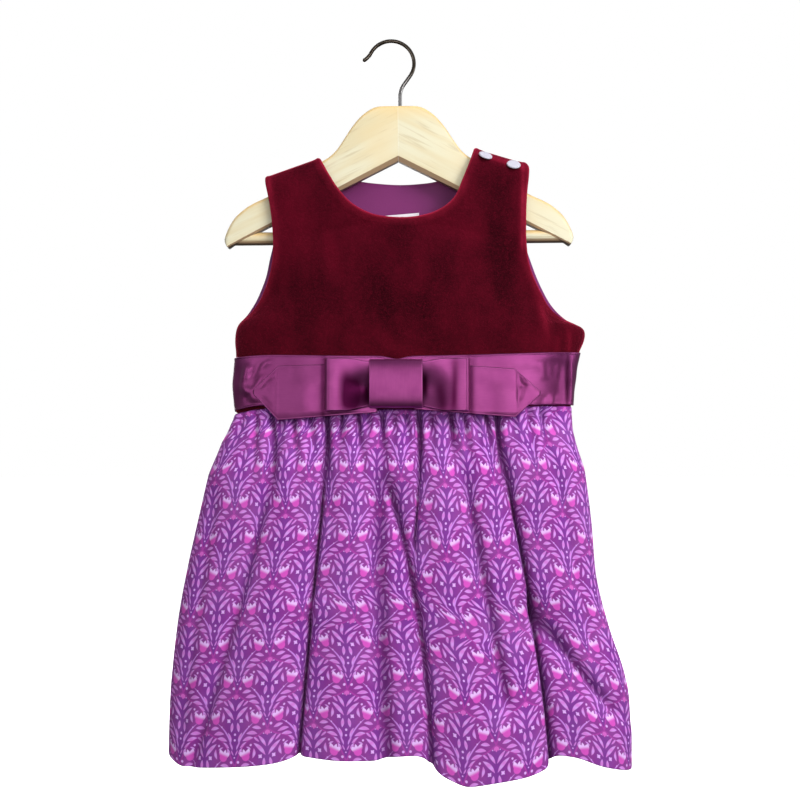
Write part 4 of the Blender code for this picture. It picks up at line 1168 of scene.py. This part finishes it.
def printed_cotton():
    """Cotton printed with a half-drop of scalloped flower beds, drawn from formulas.

    A point's cell is found first. In a band one row high, arches fall from the row above to the row
    below along rise(t) = t^2 + 0.09 sin(2 pi t), where t is the way from an arch's top to its foot.
    Under the arch the point is in the upper half of that arch's bed, and over it in the lower half
    of a bed of the row above. x is then the distance from the bed's middle and y the height from its
    top, both in mm, so that each motif is drawn once and mirrored. `arch` is the distance to the
    arch's line: the height over or under it, divided by sqrt(1 + slope^2).
    """
    material, shader = new_material("printed_cotton", (0.3, 0.09, 0.37), 0.8, Sheen_Weight=0.12,
                                    Sheen_Roughness=0.5, Sheen_Tint=(0.85, 0.42, 0.90, 1.0),
                                    Specular_IOR_Level=0.3)
    tree = material.node_tree
    uv = tree.nodes.new("ShaderNodeUVMap")
    uv.uv_map = "cut"
    u, v = (axis_of(tree, uv.outputs["UV"], axis) * (1 / MM) for axis in "XY")

    half = PRINT_WIDTH / 2
    row = (v * (1 / PRINT_ROW)).math("FLOOR")
    below_row = (row + 1.0) * PRINT_ROW - v
    odd = (row * 0.5).math("FRACT") * 2.0
    across = (u - odd * half) * (1 / PRINT_WIDTH)
    from_arch = abs(across - across.math("ROUND")) * PRINT_WIDTH
    t = from_arch * (1 / half)
    rise = t * t + (t * (2 * math.pi)).math("SINE") * 0.09
    over = below_row * (1 / PRINT_ROW) - rise  # above 0 under the arch
    lower = over.math("LESS_THAN", 0.0)
    x = from_arch + lower * (half - from_arch * 2.0)
    y = -below_row - lower * PRINT_ROW
    slope = t * 2.12 + (t * (2 * math.pi)).math("COSINE") * 0.6
    arch = abs(over) * PRINT_ROW / (slope * slope + 1.0).math("SQRT")

    def leaf(at_x, at_y, degrees, half_length, half_width, bend=0.0):
        """How far inside a pointed leaf a point is: half_width (1 - p^2) - |q - bend p^2|.

        p goes from -1 to 1 along the leaf, and q is the distance across it.
        """
        c, s = math.cos(math.radians(degrees)), math.sin(math.radians(degrees))
        p = x * (c / half_length) + (y * (s / half_length) - (at_x * c + at_y * s) / half_length)
        q = y * c - (x * s - (at_x * s - at_y * c))
        square = p * p
        bent = q - square * bend if bend else q
        return half_width - square * half_width - abs(bent)

    def dot(at_x, at_y, radius):
        """How far inside a round dot a point is: the radius less the distance from its middle."""
        off_x, off_y = x - at_x, y - at_y
        return radius - (off_x * off_x + off_y * off_y).math("SQRT")

    def largest(*shapes):
        """The shapes as one: the greatest of their numbers."""
        total = shapes[0]
        for shape in shapes[1:]:
            total = total.math("MAXIMUM", shape)
        return total

    leaves = largest(
        leaf(5.7, -15.6, 46.0, 7.4, 1.55, -0.9),
        leaf(3.8, -9.4, 54.0, 5.8, 1.25, -0.5),
        leaf(9.2, -8.0, 42.0, 3.2, 0.85),
        leaf(2.9, -27.6, 97.0, 3.9, 1.35),
        leaf(10.8, -19.4, 98.0, 4.1, 1.2, -0.9),
        leaf(19.2, -28.2, -10.0, 4.0, 1.4, -0.6),
        leaf(15.0, -32.3, -3.0, 4.8, 1.5, -0.9),
        leaf(11.8, -36.9, 11.0, 5.0, 1.5, -0.9),
        leaf(8.8, -41.6, 27.0, 4.8, 1.4, -0.8),
        leaf(6.0, -46.2, 44.0, 4.0, 1.1, -0.5),
        leaf(22.8, -15.4, 66.0, 2.9, 0.95, -0.4),
        leaf(15.6, -14.6, 30.0, 2.4, 0.7, -0.3),
        leaf(4.3, -35.6, 68.0, 4.2, 0.95, -0.5),
        leaf(2.9, -42.6, 62.0, 3.2, 0.75, -0.4),
        leaf(1.9, -48.3, 62.0, 2.3, 0.55),
    )
    florets = largest(
        leaf(5.7, -22.3, 45.0, 2.0, 1.05),
        leaf(5.7, -22.3, -45.0, 2.0, 1.05),
        dot(0.0, -33.4, 0.95),
        dot(0.0, -38.0, 0.9),
        dot(0.0, -52.2, 0.6),
        dot(13.9, -12.4, 0.9),
        dot(25.2, -25.9, 1.1),
        dot(3.2, -3.6, 0.5),
        dot(12.4, -27.2, 0.6),
    )
    stem = leaf(6.9, -33.9, 57.0, 12.8, 0.55, -2.6) + 0.08
    heart = largest(leaf(1.1, -2.6, 122.0, 2.1, 1.0), leaf(0.2, -3.6, 90.0, 1.7, 0.8))
    head = largest(
        dot(18.2, -21.8, 3.4),
        leaf(16.4, -18.9, 108.0, 4.0, 2.0),
        leaf(21.0, -20.2, 38.0, 4.0, 2.0),
        leaf(19.3, -18.7, 70.0, 3.4, 1.4),
    )
    glow = y + (x - 18.6) * 0.4 + 20.2  # mm above the cup of the flower

    def painted(shape, below, colour):
        """`colour` inside the shape, over what is below it."""
        return blend_colours(tree, shape.clamped(-PRINT_BLUR, PRINT_BLUR), below, colour)

    near_axis = (1.0 - x * 0.07).clamped(0.0, 1.0)
    ground = blend_colours(tree, near_axis, (0.235, 0.028, 0.262), (0.180, 0.025, 0.272))
    colour = blend_colours(tree, 1.0 - arch.clamped(0.40, 0.95), ground, (0.35, 0.034, 0.325))
    tone = (y * 0.9 + x * 0.35).math("SINE") * 0.5 + 0.5
    lilac = blend_colours(tree, tone * 0.8, (0.61, 0.28, 0.77), (0.60, 0.155, 0.62))
    colour = painted(leaves, colour, lilac)
    colour = painted(stem, colour, (0.56, 0.22, 0.74))
    colour = painted(florets, colour, (0.70, 0.38, 0.86))
    colour = painted(heart, colour, (0.60, 0.11, 0.52))
    bloom = blend_colours(tree, glow.clamped(-1.0, 2.4), (0.62, 0.070, 0.49), (0.75, 0.48, 0.90))
    colour = painted(head, colour, bloom)

    threads_up, threads_across = ((way * (2 * math.pi / THREAD_PITCH)).math("SINE") for way in (u, v))
    weave = threads_up * threads_across * 0.5 + 0.5
    fade = noise(tree, 40.0, 3.0).clamped(0.25, 0.8)
    colour = blend_colours(tree, fade * 0.10, colour, (0.55, 0.28, 0.62))
    colour = blend_colours(tree, weave * 0.08, colour, (0.05, 0.01, 0.06))
    fold_painted_shade = attribute(tree, "painted_shade").clamped(0.10, 0.92) * 0.78  # painted shade in the folds and gathers
    colour = blend_colours(tree, fold_painted_shade, colour, (0.085, 0.007, 0.100))
    tree.links.new(colour, shader.inputs["Base Color"])
    relief(tree, shader, weave, 0.00006)
    return material


def wrong_side():
    """The back of the print, where the colours have only half come through."""
    material, shader = new_material("cotton_wrong_side", (0.36, 0.18, 0.44), 0.85, Sheen_Weight=0.1)
    tree = material.node_tree
    through = noise(tree, 190.0, 3.0).clamped(0.38, 0.62)
    faded = blend_colours(tree, through, (0.27, 0.13, 0.37), (0.52, 0.29, 0.60))
    tree.links.new(faded, shader.inputs["Base Color"])
    relief(tree, shader, noise(tree, 2500.0, 1.0), 0.00008)
    return material


cotton = (printed_cotton(), wrong_side())
front_panel = skirt_grid(True, FRONT_FOLDS, FRONT_GATHERS, FRONT_HEM)
back_panel = skirt_grid(False, BACK_FOLDS, BACK_GATHERS, BACK_HEM)[:, ::-1]
front_skirt = cloth("front_skirt", [front_panel], COTTON_WALL, cotton, side=-1, roll=COTTON_ROLL)
back_skirt = cloth("back_skirt", [back_panel], COTTON_WALL, cotton, side=1, roll=COTTON_ROLL)
for panel, node, top in (
    (front_skirt, "skirt_front", front_velvet),
    (back_skirt, "skirt_back", back_velvet),
):
    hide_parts(node)
    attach(panel, "root")


# ==== sash ====
# Satin ribbon, 47 mm wide, laid flat round the waist over the velvet. It is sewn down along its upper
# selvedge with small stitches, and its front and back lengths meet in the side seams.

RIBBON_WALL = 1.0
SASH_ROLL = 0.8
SASH_ROWS = (0.06, 2.0)  # rows of the bodice tables that the ribbon covers
SASH_SWELL = 2.4  # how much lower its top edge lies where the velvet swells over it
STITCH_LENGTH = 1.6
STITCH_STEP = 2.9
STITCH_THICK = 0.42
STITCH_ROW = 2.0  # mm below the ribbon's top edge
SASH_CREASES = table(
    "x_top z_top x_low z_low depth width",
    (-138.8, -285.0, -139.2, -323.0, 0.9, 3.0),
    (-130.0, -286.0, -134.0, -303.0, -1.9, 3.2),
    (-138.0, -303.0, -120.0, -320.0, -2.0, 3.6),
    (-118.5, -285.0, -129.0, -301.0, 1.1, 3.0),
    (-115.5, -296.0, -127.0, -312.0, -1.3, 2.4),
    (-110.0, -283.5, -122.0, -292.0, -1.1, 2.4),
    (-134.0, -318.0, -126.0, -310.0, 0.8, 2.4),
    (-113.5, -311.0, -109.0, -323.0, 0.5, 2.6),
    (120.0, -283.0, 124.5, -301.0, -0.8, 5.0),
    (133.0, -282.0, 129.5, -300.0, 0.7, 5.0),
    (132.0, -313.0, 129.0, -325.0, -0.9, 3.4),
    (124.0, -313.0, 121.0, -325.0, 0.5, 3.2),
    (142.0, -284.0, 141.0, -324.0, 0.9, 3.6),
    (147.2, -281.0, 147.4, -325.0, -0.7, 1.6),
)


def satin_ribbon(name, run, roughness=0.35):
    """Plum satin ribbon with paler selvedges, and painted shade where its grid marks it. `run` stretches
    its fine threads along its length.
    """
    material, shader = new_material(name, (0.23, 0.036, 0.160), roughness, Metallic=0.92,
                                    Specular_IOR_Level=0.2)
    tree = material.node_tree
    threads = noise(tree, 2600.0, 2.0, run)
    cloudy = noise(tree, 60.0, 3.0).clamped(0.3, 0.7)
    colour = blend_colours(tree, cloudy, (0.234, 0.041, 0.160), (0.280, 0.053, 0.193))
    colour = blend_colours(tree, threads.clamped(0.35, 0.65) * 0.14, colour, (0.15, 0.014, 0.10))
    selvedge = 1.0 - attribute(tree, "edge_mm").clamped(0.6, 1.3)
    colour = blend_colours(tree, selvedge * 0.6, colour, (0.44, 0.10, 0.32))
    # Painted shade: dark where the tables mark a hollow or a shadow.
    colour = blend_colours(tree, attribute(tree, "painted_shade"), colour, (0.045, 0.0015, 0.024))
    tree.links.new(colour, shader.inputs["Base Color"])
    relief(tree, shader, threads, 0.00003)
    return material


# Painted shade on the sash: at its ends and along its creases, and painted shadow beside the loops'
# edges.
SASH_PAINTED_SHADE = table(
    "x_top z_top x_low z_low depth width",
    (-140.5, -276.0, -140.5, -332.0, 0.30, 3.6),
    (134.0, -276.0, 136.0, -334.0, 0.28, 8.0),
    (138.5, -270.0, 138.0, -338.0, 0.20, 4.0),
    (144.6, -270.0, 143.6, -338.0, 0.80, 1.5),
    (60.4, -277.0, 60.2, -299.0, 0.75, 3.0),
    (-65.4, -277.0, -65.3, -299.0, 0.75, 2.2),
    (-124.0, -306.0, -113.0, -326.0, 0.20, 4.0),
    (-128.0, -286.0, -121.0, -300.0, 0.15, 2.6),
)


def sash_shape(points, edge):
    """A selvedge that stands 0.2 mm proud, a slight unevenness from the stitches, and the creases."""
    lip = 0.2 * np.exp(-(((edge - 0.8) / 0.6) ** 2))
    pulled = 0.12 * np.sin(points[:, 2] / 2.9 + points[:, 0] / 40) * np.sin(points[:, 0] / 21)
    return lip + pulled - creased(points, SASH_CREASES)


satin = satin_ribbon("satin_across", (0.04, 0.04, 1.0))
thread, shader = new_material("plum_thread", (0.17, 0.02, 0.115), 0.5)
tree = thread.node_tree
twist = noise(tree, 900.0, 2.0)
twisted = blend_colours(tree, twist, (0.10, 0.012, 0.07), (0.21, 0.03, 0.145))
tree.links.new(twisted, shader.inputs["Base Color"])
first_row, last_row = SASH_ROWS
front_ribbon = panel_halves(FRONT_LEFT, FRONT_RIGHT, True, first=first_row, last=last_row, steps=20)
back_ribbon = panel_halves(BACK_LEFT, BACK_RIGHT, False, first=first_row, last=last_row, steps=20)
# The velvet swells over the middle of the front ribbon's top edge. Its lower edge lies 1 mm higher
# at the left seam, 0.4 mm lower in the middle and 1.2 mm lower at the right seam.
for grid in front_ribbon:
    from_top = grid[..., 2] - grid[-1, :, 2]
    grid[..., 2] -= SASH_SWELL * np.exp(-((from_top / 6) ** 2) - ((grid[..., 0] + 3) / 8) ** 2)
    from_bottom = grid[..., 2] - grid[0, :, 2]
    lowered = -1.0 + 1.4 * smooth(grid[..., 0], -122, -108) + 0.8 * smooth(grid[..., 0], 100, 118)
    grid[..., 2] -= lowered * np.exp(-((from_bottom / 5) ** 2))
sash_lift = RIBBON_WALL + SEAM_GAP
front_sash = cloth("front_sash", with_painted_shade(front_ribbon, SASH_PAINTED_SHADE), RIBBON_WALL, (satin,),
                   out=sash_lift, side=-1, roll=SASH_ROLL, shaped=sash_shape)
back_sash = cloth("back_sash", back_ribbon, RIBBON_WALL, (satin,),
                  out=sash_lift, side=1, roll=SASH_ROLL, shaped=sash_shape)


def stitch_rings(halves, side):
    """Short threads in a row along the ribbon's top edge. Each bows out, and its ends dip in.

    At p from -1 to 1 along a stitch, its middle stands STITCH_THICK (0.35 - 0.6 p^2) off the satin.
    """
    places = []
    for column in np.concatenate([half.transpose(1, 0, 2) for half in halves]):
        z = column[-1, 2] - STITCH_ROW
        places.append([np.interp(z, column[:, 2], column[:, axis]) for axis in range(3)])
    line = np.array(sorted(places))
    line = line[np.concatenate([[True], np.diff(line[:, 0]) > 0.01])]
    run = np.concatenate([[0], np.cumsum(np.linalg.norm(np.diff(line, axis=0), axis=1))])
    slope = np.gradient(line, run, axis=0)
    normal = side * np.stack([-slope[:, 1], slope[:, 0], np.zeros(len(run))], axis=1)
    normal /= np.linalg.norm(normal, axis=1)[:, None]
    line = line + normal * (sash_lift + sash_shape(line, STITCH_ROW))[:, None]
    p = np.array([-1.0, -0.6, 0.0, 0.6, 1.0])
    at = np.arange(4.0, run[-1] - 4.0, STITCH_STEP)[:, None] + p * STITCH_LENGTH / 2
    middle, out = (np.stack([np.interp(at, run, values[:, axis]) for axis in range(3)], axis=-1)
                   for values in (line, normal))
    middle = middle + out * (STITCH_THICK * (0.35 - 0.6 * p**2))[:, None]
    angle = around(8)[:, None]
    circle = np.cos(angle) * out[..., None, :] + np.sin(angle) * np.array([0.0, 0.0, 1.0])
    thick = STITCH_THICK / 2 * np.sqrt(1.05 - p**2)
    return middle[..., None, :] + thick[:, None, None] * circle


for ribbon, node, panel, halves, side in (
    (front_sash, "sash_front", front_velvet, front_ribbon, -1),
    (back_sash, "sash_back", back_velvet, back_ribbon, 1),
):
    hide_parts(node)
    stitches = rings_to_mesh(node + "_stitches", stitch_rings(halves, side), thread)
    for piece in (ribbon, stitches):
        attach(piece, "root")


# ==== bow ====
# Three lengths of like satin, 45 mm wide, on the middle of the sash: a flat one whose two pointed
# ends are the tails, one folded into two open loops, and a short band wrapped over both as the knot.

BOW_ROLL = 0.6
TAIL_TIP = 3.0  # blunt width of a tail's point
TAIL_LEAN = 0.3  # how far a tail stands out, at most, for each mm that it hangs over the skirt
TAIL_EASE = 4.0  # mm over which it begins to
TAIL_FREE = 0.4  # how far a tail stands off the ribbon under it
LOOP_RISE = 4.4  # radius of a loop's outer fold
LOOP_EDGES = (-328.0, -283.5)  # z of a loop's lower and upper edge
LOOP_GATHERED = (5.5, -4.0)  # how much higher these are at the knot
LOOP_PINCH = 22.0  # mm from the knot over which a loop narrows
KNOT_Z = -305.0
KNOT_HEIGHT = 41.2
KNOT_SATIN_ROUGHNESS = 0.42  # a little duller where it is pulled tight
KNOT_CLEAR = 0.6  # between the knot's band and the layers under it
KNOT_ROUND = 0.40  # exponent of the band's flattened section
TAILS = table(
    "x_knot x_corner x_point low_knot low_corner high_knot high_corner z_point",
    (-19.0, -104.0, -126.0, -329.0, -335.5, -287.0, -289.0, -311.0),
    (12.0, 98.0, 120.0, -326.5, -333.0, -286.0, -291.5, -312.0),
)
TAIL_CREASES = table(
    "x_top z_top x_low z_low depth width",
    (-104.5, -287.0, -105.5, -335.0, 0.25, 0.7),
    (-91.0, -282.0, -88.0, -306.0, 0.3, 5.0),
    (-70.0, -304.0, -69.0, -334.0, 0.3, 7.0),
    (-84.0, -330.0, -82.0, -300.0, -0.3, 9.0),
    (-107.0, -295.0, -121.0, -309.0, -0.5, 1.8),
    (-108.0, -327.0, -118.0, -315.0, 0.5, 2.4),
    (-111.0, -301.0, -107.5, -318.0, 0.3, 2.6),
    (100.0, -290.0, 101.0, -333.0, 0.35, 0.8),
    (102.0, -293.0, 108.5, -306.0, 0.9, 2.8),
    (104.0, -306.0, 101.5, -319.0, 0.6, 2.4),
    (82.0, -303.0, 80.0, -331.0, 0.45, 6.5),
)
# Painted shade on the tails, and painted shadow beside the loops' edges.
TAIL_PAINTED_SHADE = table(
    "x_top z_top x_low z_low depth width",
    (-91.0, -281.0, -90.0, -308.0, 0.20, 4.6),
    (-65.4, -268.0, -65.3, -348.0, 0.85, 2.2),
    (-116.0, -313.0, -108.0, -331.0, 0.30, 3.0),
    (60.4, -268.0, 60.2, -348.0, 0.90, 3.0),
    (79.0, -300.0, 80.5, -336.0, 0.15, 6.5),
    (103.0, -291.0, 109.0, -311.0, 0.45, 2.4),
    (107.0, -303.0, 101.5, -324.0, 0.30, 2.2),
)
LOOPS = table(
    "side x_knot x_fold drop_start drop_end dent_z dent_height",
    (-1.0, -21.0, -59.5, 0.06, 1.10, -309.0, 13.0),
    (1.0, 14.0, 54.5, 0.10, 1.05, -310.0, 16.0),
)
# Painted shade in the hollows of the loops.
LOOP_PAINTED_SHADE = table(
    "x_top z_top x_low z_low depth width",
    (-46.0, -290.0, -47.0, -333.0, 0.80, 5.6),
    (-36.5, -295.0, -38.5, -333.0, 1.10, 7.5),
    (-27.5, -304.0, -27.5, -326.0, 0.80, 4.5),
    (46.6, -279.0, 45.6, -336.0, 0.86, 3.8),
    (20.8, -294.0, 20.8, -318.0, 1.00, 2.8),
    (32.0, -298.0, 38.0, -336.0, 0.92, 7.6),
)


def on_waist(x, lift):
    """The y of a ribbon layer that lies `lift` off the bodice's waist, at each x."""
    rows = [half_grid(*halves, first=1.0, last=2.0)[0, :, :2]
            for halves in ((FRONT_LEFT, FRONT_RIGHT), (FRONT_RIGHT, FRONT_LEFT))]
    line = np.concatenate([rows[0], rows[1][-2::-1]])
    slope = np.gradient(line, axis=0)
    normal = np.stack([slope[:, 1], -slope[:, 0]], axis=1) / np.linalg.norm(slope, axis=1)[:, None]
    section_x, section_y = (line + normal * lift).T
    return np.interp(x, section_x, section_y)


def tail_edge(at_knot, at_corner, at_point):
    """One edge of a tail: straight from the knot to the cut's corner, then in to the point."""
    near_corner, near_point = np.linspace(at_knot, at_corner, 60), np.linspace(at_corner, at_point, 24)
    return np.concatenate([near_corner, near_point[1:]])


def ribbon_grid(x, y, z):
    """A grid for `cloth` from its three coordinates, each repeated along the axes that it lacks."""
    return with_lengths(np.stack(np.broadcast_arrays(x, y, z), axis=-1))


def tail_shape(points, edge):
    """A tail stands off by TAIL_FREE, its selvedges 0.15 mm more, less the depth of its creases."""
    lip = 0.15 * np.exp(-(((edge - 0.8) / 0.6) ** 2))
    return TAIL_FREE + lip - creased(points, TAIL_CREASES)


tail_lift = 2 * RIBBON_WALL + 2 * SEAM_GAP + 0.1
loop_lift = tail_lift + RIBBON_WALL + SEAM_GAP + 0.2
up = np.concatenate([[0, 0.007, 0.018], np.linspace(0.04, 0.96, 36), [0.982, 0.993, 1]])[:, None]
bow_pieces = []
for (name, node), sizes in zip(
    (("left_tail", "bow_tail_left"), ("right_tail", "bow_tail_right")), rows_of(TAILS)
):
    x_knot, x_corner, x_point, low_knot, low_corner, high_knot, high_corner, z_point = sizes
    x = tail_edge(x_knot, x_corner, x_point)
    low = tail_edge(low_knot, low_corner, z_point - TAIL_TIP / 2)
    high = tail_edge(high_knot, high_corner, z_point + TAIL_TIP / 2)
    z = low + up * (high - low)
    below = np.maximum(0, WAIST_Z - z)
    y = on_waist(x, tail_lift) - TAIL_LEAN * below**2 / (below + TAIL_EASE)
    grid = with_painted_shade([ribbon_grid(x, y, z)], TAIL_PAINTED_SHADE)[0]
    piece = cloth(name, [grid if x[-1] > x[0] else grid[:, ::-1]], RIBBON_WALL, (satin,),
                  roll=BOW_ROLL, shaped=tail_shape)
    bow_pieces.append((piece, node))

# Each loop is a strip that leaves the knot, turns back at its outer fold and returns over itself. The
# front of it sinks towards the knot, most of all around dent_z.
for (name, node), sizes in zip(
    (("left_loop", "bow_loop_left"), ("right_loop", "bow_loop_right")), rows_of(LOOPS)
):
    side, x_knot, x_fold, drop_start, drop_end, dent_z, dent_height = sizes
    turn = np.radians(np.linspace(-90, 90, 23)[1:-1])
    back, front = np.linspace(x_knot, x_fold, 20), np.linspace(x_fold, x_knot, 48)
    x = np.concatenate([back, x_fold + side * LOOP_RISE * np.cos(turn), front])
    way = np.concatenate([np.zeros(len(back) + len(turn)), np.linspace(0, 1, len(front))])
    rise = np.concatenate([np.zeros(len(back)), 1 + np.sin(turn), np.full(len(front), 2.0)])
    near_knot = np.clip(1 - np.abs(x - x_knot) / LOOP_PINCH, 0, 1)
    low, high = (edge + near_knot * more for edge, more in zip(LOOP_EDGES, LOOP_GATHERED))
    z = low + up * (high - low)
    dent = 0.4 + 1.3 * np.exp(-(((z - dent_z) / dent_height) ** 2))
    sunk = smooth(way, drop_start, drop_end) * dent
    y = on_waist(x, 0.0) - loop_lift - LOOP_RISE * (rise - sunk)
    grid = with_painted_shade([ribbon_grid(x, y, z)], LOOP_PAINTED_SHADE)[0]
    grid = grid if side < 0 else grid[:, ::-1]
    piece = cloth(name, [grid], RIBBON_WALL, (satin,), roll=BOW_ROLL)
    bow_pieces.append((piece, node))

# The band runs over the front, from the sash above the bow to the sash below it: at each angle from
# -90 to 90 degrees, its height goes as (1 - cos^3)^(1/3) and its depth as cos^KNOT_ROUND.
x = np.concatenate([[-26.0, -25.7, -25.2], np.linspace(-24.4, 17.4, 46), [18.2, 18.7, 19.0]])
angle = np.radians(np.linspace(-90, 90, 73))[:, None]
z = KNOT_Z + KNOT_HEIGHT / 2 * np.sign(angle) * (1 - np.cos(angle) ** 3) ** (1 / 3)
band_rise = loop_lift + 2 * LOOP_RISE + RIBBON_WALL + KNOT_CLEAR - tail_lift
y = on_waist(x, 0.0) - tail_lift - KNOT_CLEAR - band_rise * np.cos(angle) ** KNOT_ROUND
upright = satin_ribbon("satin_upright", (1.0, 0.04, 0.04), KNOT_SATIN_ROUGHNESS)
knot = cloth("knot_band", [ribbon_grid(x, y, z)], RIBBON_WALL, (upright,), roll=BOW_ROLL)
bow_pieces.append((knot, "bow_knot"))
for piece, node in bow_pieces:
    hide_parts(node)
    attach(piece, "root")


# ==== camera, lights and floor ====
# A pale studio: soft boxes in front, at both sides, above and behind, white paper 14 cm below the
# hem, and even light all round that is stronger from above. The camera looks up by 3.4 degrees.

FLOOR_Z = -0.78
FLOOR_REACH = 60.0

camera_data = bpy.data.cameras.new("camera")
camera_data.sensor_width = 36.0
camera_data.lens = 52.51
camera = bpy.data.objects.new("camera", camera_data)
camera.location = (0.0, -1.0182, -0.37775)
camera.rotation_euler = (math.radians(93.433), 0.0, 0.0)
bpy.context.collection.objects.link(camera)
bpy.context.scene.camera = camera
bpy.context.scene.view_settings.view_transform = "Standard"


def soft_light(name, place, aim, size, power, colour=(1.0, 1.0, 1.0)):
    """A square soft box of `size` metres and `power` watts at `place`, which looks at `aim`."""
    data = bpy.data.lights.new(name, "AREA")
    data.shape = "SQUARE"
    data.size = size
    data.energy = power
    data.color = colour
    lamp = bpy.data.objects.new(name, data)
    lamp.location = place
    lamp.rotation_euler = (Vector(aim) - Vector(place)).to_track_quat("-Z", "Y").to_euler()
    bpy.context.collection.objects.link(lamp)
    return lamp


soft_light("front", (-0.05, -1.75, -0.22), (0.0, 0.0, -0.33), 0.55, 4.6)
soft_light("front_right", (0.72, -1.5, -0.12), (0.0, 0.0, -0.30), 0.5, 4.2)
key = soft_light("key", (1.30, -1.25, 0.60), (0.0, 0.0, -0.33), 0.85, 32.0)
key.visible_glossy = False  # broad daylight from the side, too wide to show as one highlight
soft_light("side", (1.65, -0.45, 0.35), (0.0, 0.0, -0.20), 0.7, 2.6)
gleam = soft_light("gleam", (1.75, -0.55, -0.12), (0.0, 0.0, -0.30), 0.6, 4.0)
gleam.visible_diffuse = False  # shows only as the shine on the satin's right end
soft_light("fill", (-1.3, -1.5, -0.1), (0.0, 0.0, -0.35), 1.2, 5.0)
top = soft_light("top", (0.2, -0.8, 0.95), (0.0, 0.0, -0.35), 0.9, 9.0)
top.visible_glossy = False
soft_light("back", (-0.4, 1.7, 0.3), (0.0, 0.0, -0.35), 1.2, 16.0)

world = bpy.data.worlds.new("studio")
bpy.context.scene.world = world
world.use_nodes = True
tree = world.node_tree
backdrop = tree.nodes["Background"]
backdrop.inputs["Color"].default_value = (1.0, 1.0, 1.0, 1.0)
backdrop.inputs["Strength"].default_value = 1.0
ambient = tree.nodes.new("ShaderNodeBackground")
ambient.inputs["Color"].default_value = (1.0, 1.0, 1.0, 1.0)
direction = tree.nodes.new("ShaderNodeTexCoord").outputs["Generated"]
from_above = axis_of(tree, direction, "Z").clamped(-0.9, 0.5)
tree.links.new((from_above * 0.26 + 0.08).socket, ambient.inputs["Strength"])
rays = tree.nodes.new("ShaderNodeLightPath")
mix = tree.nodes.new("ShaderNodeMixShader")
tree.links.new(rays.outputs["Is Camera Ray"], mix.inputs["Fac"])
tree.links.new(ambient.outputs["Background"], mix.inputs[1])
tree.links.new(backdrop.outputs["Background"], mix.inputs[2])
tree.links.new(mix.outputs["Shader"], tree.nodes["World Output"].inputs["Surface"])

floor_mesh = bpy.data.meshes.new("pale_floor")
corners = [(x * FLOOR_REACH, y * FLOOR_REACH, FLOOR_Z) for x, y in ((-1, -1), (1, -1), (1, 1), (-1, 1))]
floor_mesh.from_pydata(corners, [], [(0, 1, 2, 3)])
paper, shader = new_material("white_paper", (0.95, 0.95, 0.95), 0.9, Emission_Color=(1.0, 1.0, 1.0, 1.0),
                             Emission_Strength=0.9)
floor_mesh.materials.append(paper)
floor = bpy.data.objects.new("pale_floor", floor_mesh)
bpy.context.collection.objects.link(floor)
floor.visible_diffuse = False
floor.visible_glossy = False
